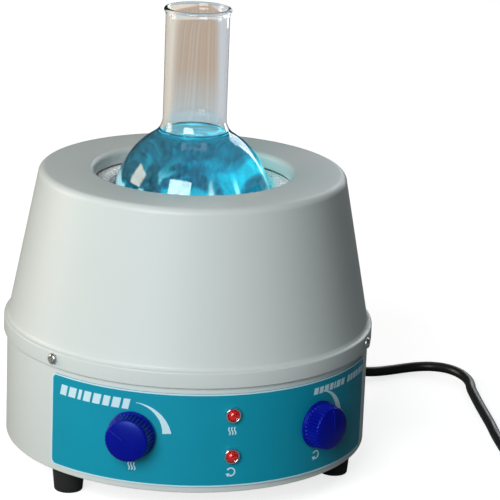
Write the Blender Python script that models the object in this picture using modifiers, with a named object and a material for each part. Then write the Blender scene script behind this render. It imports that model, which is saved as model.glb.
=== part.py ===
"""Stirring heating mantle with a 250 ml round bottom flask seated in it.

Run it with: blender --background --python part.py
Metres, +Z up. The origin is on the drum's axis, on the surface that the feet stand on.
The front, with the label, lamps and knobs, faces -Y. An azimuth is measured from the
front towards +X, so 180 degrees is the back.
"""

import math

import bmesh
import bpy
from mathutils import Matrix, Vector

MM = 0.001
GAP = 0.3 * MM  # between touching pieces
MERGE = 0.0001  # merge distance of every modifier that merges

# Housing
FOOT_HEIGHT = 15.0 * MM  # from the table to the drum's bottom edge
DRUM_RADIUS = 99.0 * MM
WALL = 1.5 * MM
SEAM_Z = FOOT_HEIGHT + 58.0 * MM  # lower edge of the shell's flange band
FLANGE_TOP_Z = FOOT_HEIGHT + 66.6 * MM
FLANGE_RADIUS = 100.9 * MM
CONE_BASE_RADIUS = 98.3 * MM
CONE_TOP_RADIUS = 83.6 * MM
TOP_Z = FOOT_HEIGHT + 148.7 * MM
OPENING_RADIUS = 53.5 * MM
LIP_DEPTH = 8.0 * MM

# Flask, a 250 ml short ring neck pattern
BULB_RADIUS = 42.5 * MM
BULB_Z = FOOT_HEIGHT + 131.8 * MM
NECK_RADIUS = 17.2 * MM
RIM_RADIUS = 18.2 * MM
RIM_Z = FOOT_HEIGHT + 237.1 * MM
GLASS = 1.6 * MM
SHOULDER_FILLET = 11.0 * MM
LIQUID_LEVEL = 38.0 * MM  # above the bulb's centre

# Heating well, radii of spheres about the bulb's centre
BED_INNER = 43.3 * MM
BED_OUTER = 49.5 * MM
ELEMENT_RADIUS = 52.0 * MM
ELEMENT_THICKNESS = 1.2 * MM
INSULATION_INNER = 54.5 * MM
INSULATION_OUTER = 68.0 * MM
BOWL_INNER = 69.0 * MM
BOWL_SHEET = 1.2 * MM

# Front controls
CONTROL_AZIMUTH = 30.0
CONTROL_Z = FOOT_HEIGHT + 30.6 * MM
HEAT_POINTER_CLOCK = 60.0  # degrees anticlockwise of 12 o'clock at rest
KNOB_RADIUS = 12.85 * MM
KNOB_BACK = 100.9 * MM  # distance from the drum's axis
KNOB_SHOULDER = 109.9 * MM  # where the flutes end and the dome begins
KNOB_FACE = 112.7 * MM
KNOB_RECESS = 8.2 * MM
SHAFT_END = 109.3 * MM
FLUTES = 36
BUSHING_RADIUS = 4.6 * MM
SHAFT_RADIUS = 2.9 * MM
LABEL_THICKNESS = 0.5 * MM
LABEL_HALF_ANGLE = 59.0
LABEL_LOW_Z = FOOT_HEIGHT + 3.6 * MM
LABEL_HIGH_Z = FOOT_HEIGHT + 54.6 * MM
LABEL_CORNER = 3.0 * MM
LAMP_ZS = {"upper": FOOT_HEIGHT + 43.2 * MM, "lower": FOOT_HEIGHT + 20.7 * MM}
LAMP_BODY_RADIUS = 3.2 * MM

# Feet and fasteners
FOOT_AZIMUTHS = {"front_left": -60.0, "front_right": 60.0, "rear": 180.0}
FOOT_CIRCLE = 85.6 * MM
FOOT_TOP_RADIUS = 9.0 * MM
FOOT_BOTTOM_RADIUS = 7.4 * MM
SCREW_AZIMUTHS = {"front_left": -58.0, "front_right": 58.0, "rear": 180.0}
SCREW_HEAD_RADIUS = 3.0 * MM
SCREW_Z = FOOT_HEIGHT + 62.6 * MM

# Motor and board
MOTOR_RADIUS = 22.0 * MM
MOTOR_PLATE_Z = FOOT_HEIGHT + 44.0 * MM
STANDOFF_CIRCLE = 36.0 * MM
MAGNET_OFFSET = 12.0 * MM
BOARD_Z = FOOT_HEIGHT + 10.0 * MM
BOARD_CENTRE_Y = -64.0 * MM

# Mains cord
CORD_RADIUS = 3.0 * MM
CORD_AZIMUTH = 131.0
CORD_EXIT_Z = FOOT_HEIGHT + 11.0 * MM
BOOT_TIP = 124.0 * MM  # distance from the drum's axis
COIL_CENTRE = Vector((209.5, -97.0, 10.6)) * MM
COIL_RADIUS = 32.5 * MM  # to the middle of the bundle of turns
BUNDLE_RADIUS = 9.3 * MM  # six strands in a ring
STRAP = 0.8 * MM
STRAP_WIDTH = 7.0 * MM
CORD_POINT_SPACING = 12.0 * MM
# Route of the mains cord from the boot's tip to the coil's lowest strand, in millimetres
CORD_ROUTE = (
    (94.1, 81.8, 26.0), (101.1, 87.6, 25.3), (108.8, 92.7, 21.7), (117.0, 96.9, 15.4),
    (125.6, 100.4, 9.4), (134.6, 102.8, 5.3), (144.4, 104.6, 3.6), (156.2, 107.2, 3.1),
    (165.8, 109.1, 3.2), (174.9, 109.2, 3.6), (183.5, 106.3, 4.2), (190.6, 100.5, 4.5),
    (195.3, 92.8, 4.2), (197.2, 83.9, 3.6), (196.4, 74.8, 3.2), (194.0, 66.0, 3.1),
    (190.6, 47.0, 3.1), (187.4, 27.0, 3.1), (184.4, 7.0, 3.1), (181.0, -12.0, 3.1),
    (178.2, -32.0, 3.1), (176.0, -50.0, 3.2), (174.9, -63.0, 3.5),
)
# Route from the coil to the plug
TAIL_ROUTE = (
    (247.6, -71.5, 9.7), (247.4, -65.0, 11.8), (247.3, -57.5, 13.5), (247.2, -50.3, 14.0),
)
PLUG_START = Vector((247.2, -50.0, 14.0)) * MM

COLOURS = {
    "housing": (0.62, 0.63, 0.60), "label": (0.02, 0.30, 0.42), "rubber": (0.02, 0.02, 0.02),
    "steel": (0.60, 0.60, 0.60), "aluminium": (0.75, 0.76, 0.77), "knit": (0.85, 0.84, 0.80),
    "wool": (0.90, 0.85, 0.62), "knob": (0.01, 0.015, 0.20), "lens": (0.60, 0.02, 0.02),
    "chrome": (0.80, 0.80, 0.80), "glass": (0.90, 0.95, 0.95), "liquid": (0.0, 0.35, 0.60),
    "ptfe": (0.90, 0.90, 0.88), "board": (0.02, 0.20, 0.08), "black": (0.03, 0.03, 0.03),
    "magnet": (0.30, 0.30, 0.32), "brass": (0.70, 0.52, 0.22), "sleeving": (0.75, 0.74, 0.70),
}
METALS = ("steel", "aluminium", "chrome", "magnet", "brass")
MATTE = ("rubber", "knit", "wool", "sleeving")


def clear_scene():
    for obj in list(bpy.data.objects):
        bpy.data.objects.remove(obj, do_unlink=True)


def make_collection(name):
    collection = bpy.data.collections.new(name)
    bpy.context.scene.collection.children.link(collection)
    return collection


def material(name):
    """The Principled material of one of COLOURS."""
    if name in bpy.data.materials:
        return bpy.data.materials[name]
    made = bpy.data.materials.new(name)
    made.use_nodes = True
    shader = made.node_tree.nodes["Principled BSDF"]
    shader.inputs["Base Color"].default_value = (*COLOURS[name], 1.0)
    shader.inputs["Metallic"].default_value = 1.0 if name in METALS else 0.0
    shader.inputs["Roughness"].default_value = 0.8 if name in MATTE else 0.35
    if name == "glass":
        shader.inputs["Transmission Weight"].default_value = 1.0
        shader.inputs["Roughness"].default_value = 0.02
    return made


def outward(azimuth):
    angle = math.radians(azimuth)
    return Vector((math.sin(angle), -math.cos(angle), 0.0))


def arc(centre_x, centre_z, radius, start, end, count):
    """Points on an arc in the XZ plane. Angles are in degrees from +X towards +Z."""
    points = []
    for i in range(count + 1):
        angle = math.radians(start + (end - start) * i / count)
        points.append((centre_x + radius * math.cos(angle), centre_z + radius * math.sin(angle)))
    return points


def add_mesh(name, mesh, parts, colour):
    """A named object of a mesh, in a collection, with its own material."""
    obj = bpy.data.objects.new(name, mesh)
    parts.objects.link(obj)
    if colour:
        mesh.materials.append(material(colour))
    return obj


def turned(name, profile, parts, colour, steps=40, ring=False):
    """A solid of revolution about Z. The profile holds (radius, z) pairs that run down the
    outer side and up the inner one. A ring's profile is a closed loop clear of the axis."""
    mesh = bpy.data.meshes.new(name)
    count = len(profile)
    edges = [(i, i + 1) for i in range(count - 1)]
    if ring:
        edges.append((count - 1, 0))
    mesh.from_pydata([(radius, 0.0, z) for radius, z in profile], edges, [])
    obj = add_mesh(name, mesh, parts, colour)
    screw = obj.modifiers.new("Turn", "SCREW")
    screw.axis = "Z"
    screw.steps = steps
    screw.render_steps = steps
    screw.use_merge_vertices = True
    screw.merge_threshold = MERGE
    screw.use_smooth_shade = True
    return obj


def cylinder(name, radius, low, high, parts, colour, sides=24):
    """A cylinder along local Z from low to high."""
    mesh = bpy.data.meshes.new(name)
    form = bmesh.new()
    bmesh.ops.create_cone(
        form, cap_ends=True, segments=sides, radius1=radius, radius2=radius, depth=high - low
    )
    bmesh.ops.translate(form, vec=(0.0, 0.0, (low + high) / 2), verts=form.verts)
    form.to_mesh(mesh)
    form.free()
    mesh.shade_smooth()
    mesh.set_sharp_from_angle(angle=math.radians(40))
    return add_mesh(name, mesh, parts, colour)


def box(name, size, centre, parts, colour, bevel=0.0):
    """A box with optional rounded edges."""
    mesh = bpy.data.meshes.new(name)
    form = bmesh.new()
    bmesh.ops.create_cube(form, size=1.0)
    bmesh.ops.scale(form, vec=size, verts=form.verts)
    form.to_mesh(mesh)
    form.free()
    obj = add_mesh(name, mesh, parts, colour)
    obj.location = centre
    if bevel:
        edge = obj.modifiers.new("Edges", "BEVEL")
        edge.width = bevel
        edge.segments = 2
    return obj


def flat_outline(name, outlines, thickness, parts, colour):
    """A flat plate centred on z = 0. The first outline is its edge and the others are holes."""
    curve = bpy.data.curves.new(name, "CURVE")
    curve.dimensions = "2D"
    curve.fill_mode = "BOTH"
    curve.extrude = thickness / 2
    for outline in outlines:
        spline = curve.splines.new("POLY")
        spline.points.add(len(outline) - 1)
        spline.use_cyclic_u = True
        for point, (x, y) in zip(spline.points, outline):
            point.co = (x, y, 0.0, 1.0)
    curve.materials.append(material(colour))
    obj = bpy.data.objects.new(name, curve)
    parts.objects.link(obj)
    return obj


def polygon(radius, sides, start=0.0):
    """The corners of a regular polygon. Many sides make a circle."""
    angles = [math.radians(start + 360.0 * i / sides) for i in range(sides)]
    return [(radius * math.cos(a), radius * math.sin(a)) for a in angles]


def tube(name, points, radius, parts, colour):
    """A round tube with filled caps along a list of points."""
    curve = bpy.data.curves.new(name, "CURVE")
    curve.dimensions = "3D"
    curve.bevel_depth = radius
    curve.bevel_resolution = 2
    curve.use_fill_caps = True
    spline = curve.splines.new("POLY")
    spline.points.add(len(points) - 1)
    for point, place in zip(spline.points, points):
        point.co = (*place, 1.0)
    spline.use_smooth = True
    curve.materials.append(material(colour))
    obj = bpy.data.objects.new(name, curve)
    parts.objects.link(obj)
    return obj


def tube_mesh(name, points, radius, parts):
    """A tube turned into one closed mesh, which can take part in a Boolean."""
    obj = tube(name + "_curve", points, radius, parts, "knob")
    evaluated = obj.evaluated_get(bpy.context.evaluated_depsgraph_get())
    mesh = bpy.data.meshes.new_from_object(evaluated)
    bpy.data.objects.remove(obj, do_unlink=True)
    form = bmesh.new()
    form.from_mesh(mesh)
    bmesh.ops.remove_doubles(form, verts=form.verts, dist=0.00001)
    form.to_mesh(mesh)
    form.free()
    return add_mesh(name, mesh, parts, None)


def smooth_route(route, spacing):
    """Evenly spaced points on the Catmull-Rom curve through a route's points."""
    knots = [Vector(p) * MM for p in route]
    knots = [2 * knots[0] - knots[1], *knots, 2 * knots[-1] - knots[-2]]
    fine = []
    for a, b, c, d in zip(knots, knots[1:], knots[2:], knots[3:]):
        for i in range(20):
            t = i / 20
            fine.append(
                (2 * b + (c - a) * t + (2 * a - 5 * b + 4 * c - d) * t**2
                 + (3 * b - a - 3 * c + d) * t**3) / 2
            )
    fine.append(knots[-2])
    total = sum((q - p).length for p, q in zip(fine, fine[1:]))
    stretch = total / max(1, round(total / spacing))
    points = [fine[0]]
    walked = 0.0
    for p, q in zip(fine, fine[1:]):
        walked += (q - p).length
        if walked >= stretch * (len(points) - 1e-6) and len(points) * stretch < total - MERGE:
            points.append(q)
    points.append(fine[-1])
    return points


def cut(obj, cutter):
    """Cut a piece with a hidden cutter."""
    cutter.hide_render = True
    cutter.display_type = "WIRE"
    boolean = obj.modifiers.new("Cut " + cutter.name, "BOOLEAN")
    boolean.operation = "DIFFERENCE"
    boolean.object = cutter


def face_outward(obj, azimuth, height):
    """Turn a piece made along local Z so that it points out of the drum, about its axis."""
    obj.rotation_euler = (math.pi / 2, 0.0, math.radians(azimuth))
    obj.location = (0.0, 0.0, height)


def radial_hole(pieces, name, radius, low, high, azimuth, height, cutters):
    """Drill the same hole through several pieces of the wall."""
    cutter = cylinder(name, radius, low, high, cutters, None, sides=16)
    face_outward(cutter, azimuth, height)
    for piece in pieces:
        cut(piece, cutter)


# Housing


def make_upper_shell(parts):
    """The spun cone with its flat top, its turned-in lip and its flange band."""
    inner = OPENING_RADIUS
    roll = 3.0 * MM
    edge = 4.0 * MM
    slope = math.degrees(math.atan2(CONE_BASE_RADIUS - CONE_TOP_RADIUS, TOP_Z - FLANGE_TOP_Z))
    edge_x = CONE_TOP_RADIUS - edge
    foot_z = FLANGE_TOP_Z + 1.4 * MM
    profile = [(inner, TOP_Z - LIP_DEPTH)]
    profile += arc(inner + roll, TOP_Z - roll, roll, 180, 90, 3)
    profile += arc(edge_x, TOP_Z - edge, edge, 90, slope, 3)
    profile += [(CONE_BASE_RADIUS, foot_z), (CONE_BASE_RADIUS + 0.9 * MM, FLANGE_TOP_Z + 0.2 * MM)]
    profile += arc(FLANGE_RADIUS - 1.6 * MM, FLANGE_TOP_Z - 1.6 * MM, 1.6 * MM, 80, 0, 2)
    profile += [(FLANGE_RADIUS, SEAM_Z), (FLANGE_RADIUS - WALL, SEAM_Z)]
    profile += [(FLANGE_RADIUS - WALL, FLANGE_TOP_Z - 0.9 * MM)]
    profile += [(CONE_BASE_RADIUS - WALL, FLANGE_TOP_Z - 0.4 * MM)]
    profile += arc(edge_x, TOP_Z - edge, edge - WALL, slope, 90, 1)
    profile += arc(inner + roll, TOP_Z - roll, roll - WALL, 90, 180, 1)
    profile += [(inner + WALL, TOP_Z - LIP_DEPTH)]
    return turned("upper_shell", profile, parts, "housing", steps=48, ring=True)


def make_lower_drum(parts):
    """The drum with an inward ledge above the base plate."""
    ledge_z = FOOT_HEIGHT + 2.8 * MM
    inside = DRUM_RADIUS - WALL
    top = FLANGE_TOP_Z - 1.3 * MM
    profile = [(inside, top), (DRUM_RADIUS, top)]
    profile += arc(DRUM_RADIUS - 1.2 * MM, FOOT_HEIGHT + 1.2 * MM, 1.2 * MM, 0, -90, 2)
    profile += [(inside, FOOT_HEIGHT), (inside, ledge_z)]
    profile += [(92.0 * MM, ledge_z), (92.0 * MM, ledge_z + WALL), (inside, ledge_z + WALL)]
    return turned("lower_drum", profile, parts, "housing", steps=48, ring=True)


def make_label(parts):
    """The curved front label, a sheet bent around the drum with rounded corners."""
    columns = 30
    radius = DRUM_RADIUS + GAP
    form = bmesh.new()
    rows = []
    for z in (LABEL_LOW_Z, LABEL_HIGH_Z):
        row = []
        for i in range(columns + 1):
            azimuth = LABEL_HALF_ANGLE * (2 * i / columns - 1)
            row.append(form.verts.new(outward(azimuth) * radius + Vector((0, 0, z))))
        rows.append(row)
    for i in range(columns):
        form.faces.new((rows[0][i], rows[0][i + 1], rows[1][i + 1], rows[1][i]))
    corners = [rows[0][0], rows[0][-1], rows[1][0], rows[1][-1]]
    bmesh.ops.bevel(
        form, geom=corners, offset=LABEL_CORNER, segments=4, profile=0.5, affect="VERTICES"
    )
    mesh = bpy.data.meshes.new("front_label")
    form.to_mesh(mesh)
    form.free()
    mesh.shade_smooth()
    label = add_mesh("front_label", mesh, parts, "label")
    sheet = label.modifiers.new("Sheet", "SOLIDIFY")
    sheet.thickness = LABEL_THICKNESS
    sheet.offset = 1.0
    return label


def make_base_plate(parts, cutters):
    """The steel floor of the drum, with a hole for each foot screw."""
    low = FOOT_HEIGHT + 0.9 * MM
    plate = cylinder("base_plate", 97.0 * MM, low, low + 1.6 * MM, parts, "steel", sides=48)
    for place, azimuth in FOOT_AZIMUTHS.items():
        name = f"foot_hole_{place}"
        hole = cylinder(name, 2.4 * MM, low - MM, low + 3 * MM, cutters, None, sides=12)
        hole.location = outward(azimuth) * FOOT_CIRCLE
        cut(plate, hole)
    return plate


def make_feet(parts):
    """Three tapered rubber feet, each with a screw up through it into the base plate."""
    height = FOOT_HEIGHT + 0.6 * MM
    recess = 7.0 * MM
    for place, azimuth in FOOT_AZIMUTHS.items():
        profile = [
            (2.3 * MM, height), (FOOT_TOP_RADIUS - 0.6 * MM, height),
            (FOOT_TOP_RADIUS, height - 0.6 * MM), (FOOT_BOTTOM_RADIUS + 0.1 * MM, 0.8 * MM),
            (FOOT_BOTTOM_RADIUS - 0.7 * MM, 0.0), (4.2 * MM, 0.0), (4.2 * MM, recess),
            (2.3 * MM, recess),
        ]
        foot = turned(f"foot_{place}", profile, parts, "rubber", steps=20, ring=True)
        head = recess - GAP
        profile = [
            (0.0, FOOT_HEIGHT + 8.0 * MM), (2.0 * MM, FOOT_HEIGHT + 8.0 * MM), (2.0 * MM, head),
            (3.8 * MM, head), (3.8 * MM, head - 1.6 * MM), (2.6 * MM, head - 2.6 * MM),
            (0.0, head - 2.6 * MM),
        ]
        screw = turned(f"foot_screw_{place}", profile, parts, "steel", steps=12)
        foot.location = outward(azimuth) * FOOT_CIRCLE
        screw.location = foot.location


def make_housing_screws(parts):
    """Three pan head screws through the flange band into the drum."""
    under = FLANGE_RADIUS + GAP
    for place, azimuth in SCREW_AZIMUTHS.items():
        profile = [
            (0.0, under + 2.0 * MM), (1.7 * MM, under + 1.8 * MM), (2.7 * MM, under + 1.2 * MM),
            (SCREW_HEAD_RADIUS, under + 0.5 * MM), (SCREW_HEAD_RADIUS, under), (1.5 * MM, under),
            (1.5 * MM, under - 7.0 * MM), (0.0, under - 7.0 * MM),
        ]
        screw = turned(f"housing_screw_{place}", profile, parts, "steel", steps=14)
        face_outward(screw, azimuth, SCREW_Z)


# Heating well


def make_heating_bed(parts):
    """The knitted glass fibre cup that the bulb sits in, with its rolled rim."""
    rim = [
        (46.0 * MM, BULB_Z + 8.0 * MM), (49.0 * MM, BULB_Z + 8.6 * MM),
        (52.0 * MM, BULB_Z + 6.5 * MM), (52.2 * MM, BULB_Z + 1.0 * MM),
    ]
    profile = arc(0, BULB_Z, BED_INNER, -90, 4, 8)
    profile += rim
    profile += arc(0, BULB_Z, BED_OUTER, -8, -90, 6)
    return turned("heating_bed", pin_ends(profile), parts, "knit", steps=28)


def pin_ends(profile):
    """The same profile with its first and last points exactly on the axis."""
    return [(0.0, profile[0][1]), *profile[1:-1], (0.0, profile[-1][1])]


def make_heating_element(parts):
    """The sleeved resistance wire that spirals around the outside of the bed."""
    turns = 3
    per_turn = 14
    low, high = -72.0, -14.0
    points = []
    for i in range(turns * per_turn + 1):
        share = i / (turns * per_turn)
        level = math.radians(low + (high - low) * share)
        around = math.tau * turns * share
        flat = ELEMENT_RADIUS * math.cos(level)
        z = BULB_Z + ELEMENT_RADIUS * math.sin(level)
        points.append((flat * math.cos(around), flat * math.sin(around), z))
    return tube("heating_element", points, ELEMENT_THICKNESS, parts, "sleeving")


def make_insulation(parts):
    """The glass wool cup between the element and the inner bowl."""
    rim_z = BULB_Z + 6.5 * MM
    profile = arc(0, BULB_Z, INSULATION_INNER, -90, 0, 6)
    profile += [(INSULATION_INNER, rim_z), (INSULATION_OUTER, rim_z)]
    profile += arc(0, BULB_Z, INSULATION_OUTER, 0, -90, 6)
    return turned("insulation_cup", pin_ends(profile), parts, "wool", steps=24)


def make_inner_bowl(parts):
    """The aluminium bowl that hangs under the shell's top and holds the well."""
    top = TOP_Z - WALL - GAP
    outer = BOWL_INNER + BOWL_SHEET
    profile = arc(0, BULB_Z, BOWL_INNER, -90, 0, 6)
    profile += [(BOWL_INNER, top), (76.0 * MM, top), (76.0 * MM, top - BOWL_SHEET)]
    profile += [(outer, top - BOWL_SHEET)]
    profile += arc(0, BULB_Z, outer, 0, -90, 6)
    return turned("inner_bowl", pin_ends(profile), parts, "aluminium", steps=24)


# Stirring drive


def make_motor(parts):
    """The stirring motor under its plate, with a boss that carries the shaft."""
    top = MOTOR_PLATE_Z - GAP
    low = top - 30.0 * MM
    bore = 2.8 * MM
    profile = [
        (0.0, top - 4.0 * MM), (bore, top - 4.0 * MM), (bore, top + 3.2 * MM),
        (6.0 * MM, top + 3.2 * MM), (6.0 * MM, top), (MOTOR_RADIUS - 1.5 * MM, top),
        (MOTOR_RADIUS, top - 1.5 * MM), (MOTOR_RADIUS, low + 1.5 * MM),
        (MOTOR_RADIUS - 1.5 * MM, low), (0.0, low),
    ]
    turned("motor_body", profile, parts, "steel", steps=24)
    outlines = [polygon(42.0 * MM, 32), polygon(7.0 * MM, 16)]
    plate = flat_outline("motor_plate", outlines, 2.0 * MM, parts, "steel")
    plate.location = (0.0, 0.0, MOTOR_PLATE_Z + 1.0 * MM)
    for i in range(3):
        low = FOOT_HEIGHT + 2.5 * MM + GAP
        standoff = cylinder(
            f"motor_standoff_{i + 1}", 4.0 * MM, low, MOTOR_PLATE_Z - GAP, parts, "brass", sides=6
        )
        standoff.location = outward(60.0 + 120.0 * i) * STANDOFF_CIRCLE


def make_drive(parts):
    """The motor's shaft and the disc with two magnets that it turns under the bowl."""
    low = MOTOR_PLATE_Z - 4.0 * MM
    disc_z = MOTOR_PLATE_Z + 7.0 * MM
    profile_top = disc_z + 3.5 * MM
    cylinder("motor_shaft", 2.5 * MM, low, disc_z + 1.7 * MM, parts, "steel", sides=14)
    bore = 2.8 * MM
    profile = [
        (0.0, profile_top), (20.0 * MM, profile_top), (20.0 * MM, disc_z), (6.0 * MM, disc_z),
        (6.0 * MM, disc_z - 2.5 * MM), (bore, disc_z - 2.5 * MM), (bore, disc_z + 2.0 * MM),
        (0.0, disc_z + 2.0 * MM),
    ]
    turned("magnet_holder", profile, parts, "aluminium", steps=28)
    low = profile_top + GAP
    for side, name in ((-1, "drive_magnet_south"), (1, "drive_magnet_north")):
        magnet = cylinder(name, 6.0 * MM, low, low + 4.0 * MM, parts, "magnet", sides=18)
        magnet.location = (side * MAGNET_OFFSET, 0.0, 0.0)


# Electrical pieces


def make_board(parts):
    """The control board on two spacers, with its triac heat sink and terminal block."""
    thickness = 1.6 * MM
    centre = Vector((0.0, BOARD_CENTRE_Y, BOARD_Z + thickness / 2))
    box("control_board", (74.0 * MM, 32.0 * MM, thickness), centre, parts, "board")
    low = FOOT_HEIGHT + 2.5 * MM + GAP
    for side, name in ((-1, "board_spacer_left"), (1, "board_spacer_right")):
        spacer = cylinder(name, 2.5 * MM, low, BOARD_Z - GAP, parts, "brass", sides=6)
        spacer.location = (side * 31.0 * MM, BOARD_CENTRE_Y, 0.0)
    fins = 4
    fin, pitch, height, back = 1.4 * MM, 4.4 * MM, 13.0 * MM, 2.0 * MM
    outline = [(0.0, 0.0)]
    for i in range(fins):
        x = i * pitch
        outline += [(x, height), (x + fin, height)]
        if i < fins - 1:
            outline += [(x + fin, back), (x + pitch, back)]
    outline += [((fins - 1) * pitch + fin, 0.0)]
    sink = flat_outline("triac_heat_sink", [outline[::-1]], 16.0 * MM, parts, "aluminium")
    sink.rotation_euler = (math.pi / 2, 0.0, 0.0)
    sink.location = (-30.0 * MM, BOARD_CENTRE_Y + 6.0 * MM, BOARD_Z + thickness + GAP)
    size = Vector((22.0, 9.0, 11.0)) * MM
    place = Vector((22.0 * MM, BOARD_CENTRE_Y + 9.0 * MM, BOARD_Z + thickness + GAP + size.z / 2))
    box("terminal_block", size, place, parts, "board", bevel=0.8 * MM)


def make_pot(name, azimuth, parts):
    """A panel potentiometer with its bushing, and the hex nut that clamps it."""
    bore = SHAFT_RADIUS + GAP
    body, shoulder, tip = 8.5 * MM, 96.4 * MM, 103.6 * MM
    profile = [
        (0.0, 92.0 * MM), (bore, 92.0 * MM), (bore, tip), (BUSHING_RADIUS - 0.4 * MM, tip),
        (BUSHING_RADIUS, tip - 0.4 * MM), (BUSHING_RADIUS, shoulder), (body, shoulder),
        (body, 87.0 * MM), (0.0, 87.0 * MM),
    ]
    pot = turned(f"{name}_pot", profile, parts, "steel", steps=20)
    face_outward(pot, azimuth, CONTROL_Z)
    outlines = [polygon(7.0 * MM, 6), polygon(BUSHING_RADIUS + GAP, 18)]
    nut = flat_outline(f"{name}_pot_nut", outlines, 2.0 * MM, parts, "chrome")
    nut.rotation_euler = (math.pi / 2, 0.0, math.radians(azimuth))
    reach = DRUM_RADIUS + 2 * GAP + LABEL_THICKNESS + 1.0 * MM
    nut.location = outward(azimuth) * reach + Vector((0.0, 0.0, CONTROL_Z))


def dome_height(share):
    """Height of the knob's domed face at a share of its shoulder's radius."""
    return KNOB_SHOULDER + (KNOB_FACE - KNOB_SHOULDER) * math.sqrt(1.0 - 0.94 * share**2)


def pointer_line(shoulder):
    """The line of the raised pointer over the dome, from near its middle to its edge."""
    shares = (0.06, 0.3, 0.52, 0.72, 0.9)
    return [Vector((0.0, shoulder * share, dome_height(share))) for share in shares]


def make_knob(name, azimuth, pointer_clock, parts, cutters):
    """A fluted knob with a domed face and a raised pointer, and the shaft that it turns."""
    bore = SHAFT_RADIUS + GAP
    skirt = KNOB_RADIUS - 0.6 * MM
    shoulder = KNOB_RADIUS - 1.1 * MM
    profile = [
        (0.0, SHAFT_END + GAP), (bore, SHAFT_END + GAP), (bore, 104.6 * MM),
        (KNOB_RECESS, 104.6 * MM), (KNOB_RECESS, KNOB_BACK), (KNOB_RADIUS, KNOB_BACK),
        (KNOB_RADIUS, KNOB_BACK + 1.2 * MM), (skirt, KNOB_BACK + 1.7 * MM),
        (shoulder, KNOB_SHOULDER),
    ]
    for share in (0.93, 0.78, 0.55, 0.28, 0.0):
        profile.append((shoulder * share, dome_height(share)))
    knob = turned(f"{name}_knob", profile[::-1], parts, "knob", steps=FLUTES)
    face_outward(knob, azimuth, CONTROL_Z)
    flutes = bpy.data.meshes.new(f"{name}_flutes")
    form = bmesh.new()
    groove = 0.8 * MM
    for i in range(FLUTES):
        angle = math.tau * (i + 0.5) / FLUTES
        made = bmesh.ops.create_cone(
            form, cap_ends=True, segments=4, radius1=groove, radius2=groove, depth=14.0 * MM
        )
        turn = Matrix.Rotation(angle, 3, "Z")
        bmesh.ops.rotate(form, verts=made["verts"], cent=(0.0, 0.0, 0.0), matrix=turn)
        at = Vector((math.cos(angle), math.sin(angle), 0.0)) * (skirt + 0.1 * MM)
        at.z = KNOB_BACK + 2.4 * MM + 7.0 * MM
        bmesh.ops.translate(form, vec=at, verts=made["verts"])
    form.to_mesh(flutes)
    form.free()
    cutter = add_mesh(f"{name}_flutes", flutes, cutters, None)
    face_outward(cutter, azimuth, CONTROL_Z)
    cut(knob, cutter)
    ridge = tube_mesh(f"{name}_pointer", pointer_line(shoulder), 0.5 * MM, cutters)
    spin = Matrix.Rotation(math.radians(pointer_clock), 4, "Z")
    ridge.data.transform(spin)
    face_outward(ridge, azimuth, CONTROL_Z)
    ridge.hide_render = True
    ridge.display_type = "WIRE"
    joined = knob.modifiers.new("Pointer", "BOOLEAN")
    joined.operation = "UNION"
    joined.object = ridge
    shaft = cylinder(
        f"{name}_knob_shaft", SHAFT_RADIUS, 92.4 * MM, SHAFT_END, parts, "brass", sides=16
    )
    face_outward(shaft, azimuth, CONTROL_Z)


def make_lamp(name, height, parts):
    """A panel lamp: a chrome bezel with its body through the wall, and a domed red lens."""
    face = DRUM_RADIUS + GAP + LABEL_THICKNESS + GAP
    seat, rim = face - 1.0 * MM, face + 1.8 * MM
    profile = [
        (0.0, seat), (2.9 * MM, seat), (2.9 * MM, rim - 0.2 * MM), (3.5 * MM, rim),
        (3.9 * MM, rim), (4.3 * MM, rim - 0.5 * MM), (4.3 * MM, face), (LAMP_BODY_RADIUS, face),
        (LAMP_BODY_RADIUS, 84.0 * MM), (0.0, 84.0 * MM),
    ]
    bezel = turned(f"{name}_lamp_bezel", profile, parts, "chrome", steps=18)
    face_outward(bezel, 0.0, height)
    radius = 2.6 * MM
    profile = [(0.0, rim + 1.6 * MM), (1.2 * MM, rim + 1.4 * MM), (2.1 * MM, rim + 0.8 * MM)]
    profile += [(radius, rim), (radius, seat + GAP), (0.0, seat + GAP)]
    lens = turned(f"{name}_lamp_lens", profile, parts, "lens", steps=16)
    face_outward(lens, 0.0, height)


# Flask


def glass_profile(offset):
    """The flask's wall from the neck down to the bottom, moved inward by offset."""
    neck = NECK_RADIUS - offset
    bulb = BULB_RADIUS - offset
    fillet = SHOULDER_FILLET + offset
    across = neck + fillet
    rise = math.sqrt((bulb + fillet) ** 2 - across**2)
    tangent = math.degrees(math.atan2(rise, across))
    points = arc(across, BULB_Z + rise, fillet, 180, 180 + tangent, 3)
    points += arc(0, BULB_Z, bulb, tangent, -90, 11)[1:]
    return points


def make_flask(parts):
    """The glass: bulb, rounded shoulder, plain neck and beaded rim."""
    bead = (RIM_RADIUS - NECK_RADIUS + GLASS) / 2
    outer = glass_profile(0.0)
    inner = glass_profile(GLASS)[::-1]
    bead_z = RIM_Z - bead
    profile = inner + [(NECK_RADIUS - GLASS, bead_z - 3.0 * MM)]
    profile += arc(RIM_RADIUS - bead, bead_z, bead, 165, -30, 4)
    profile += [(NECK_RADIUS, bead_z - 3.0 * MM)] + outer
    return turned("flask_glass", pin_ends(profile), parts, "glass", steps=32)


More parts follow.
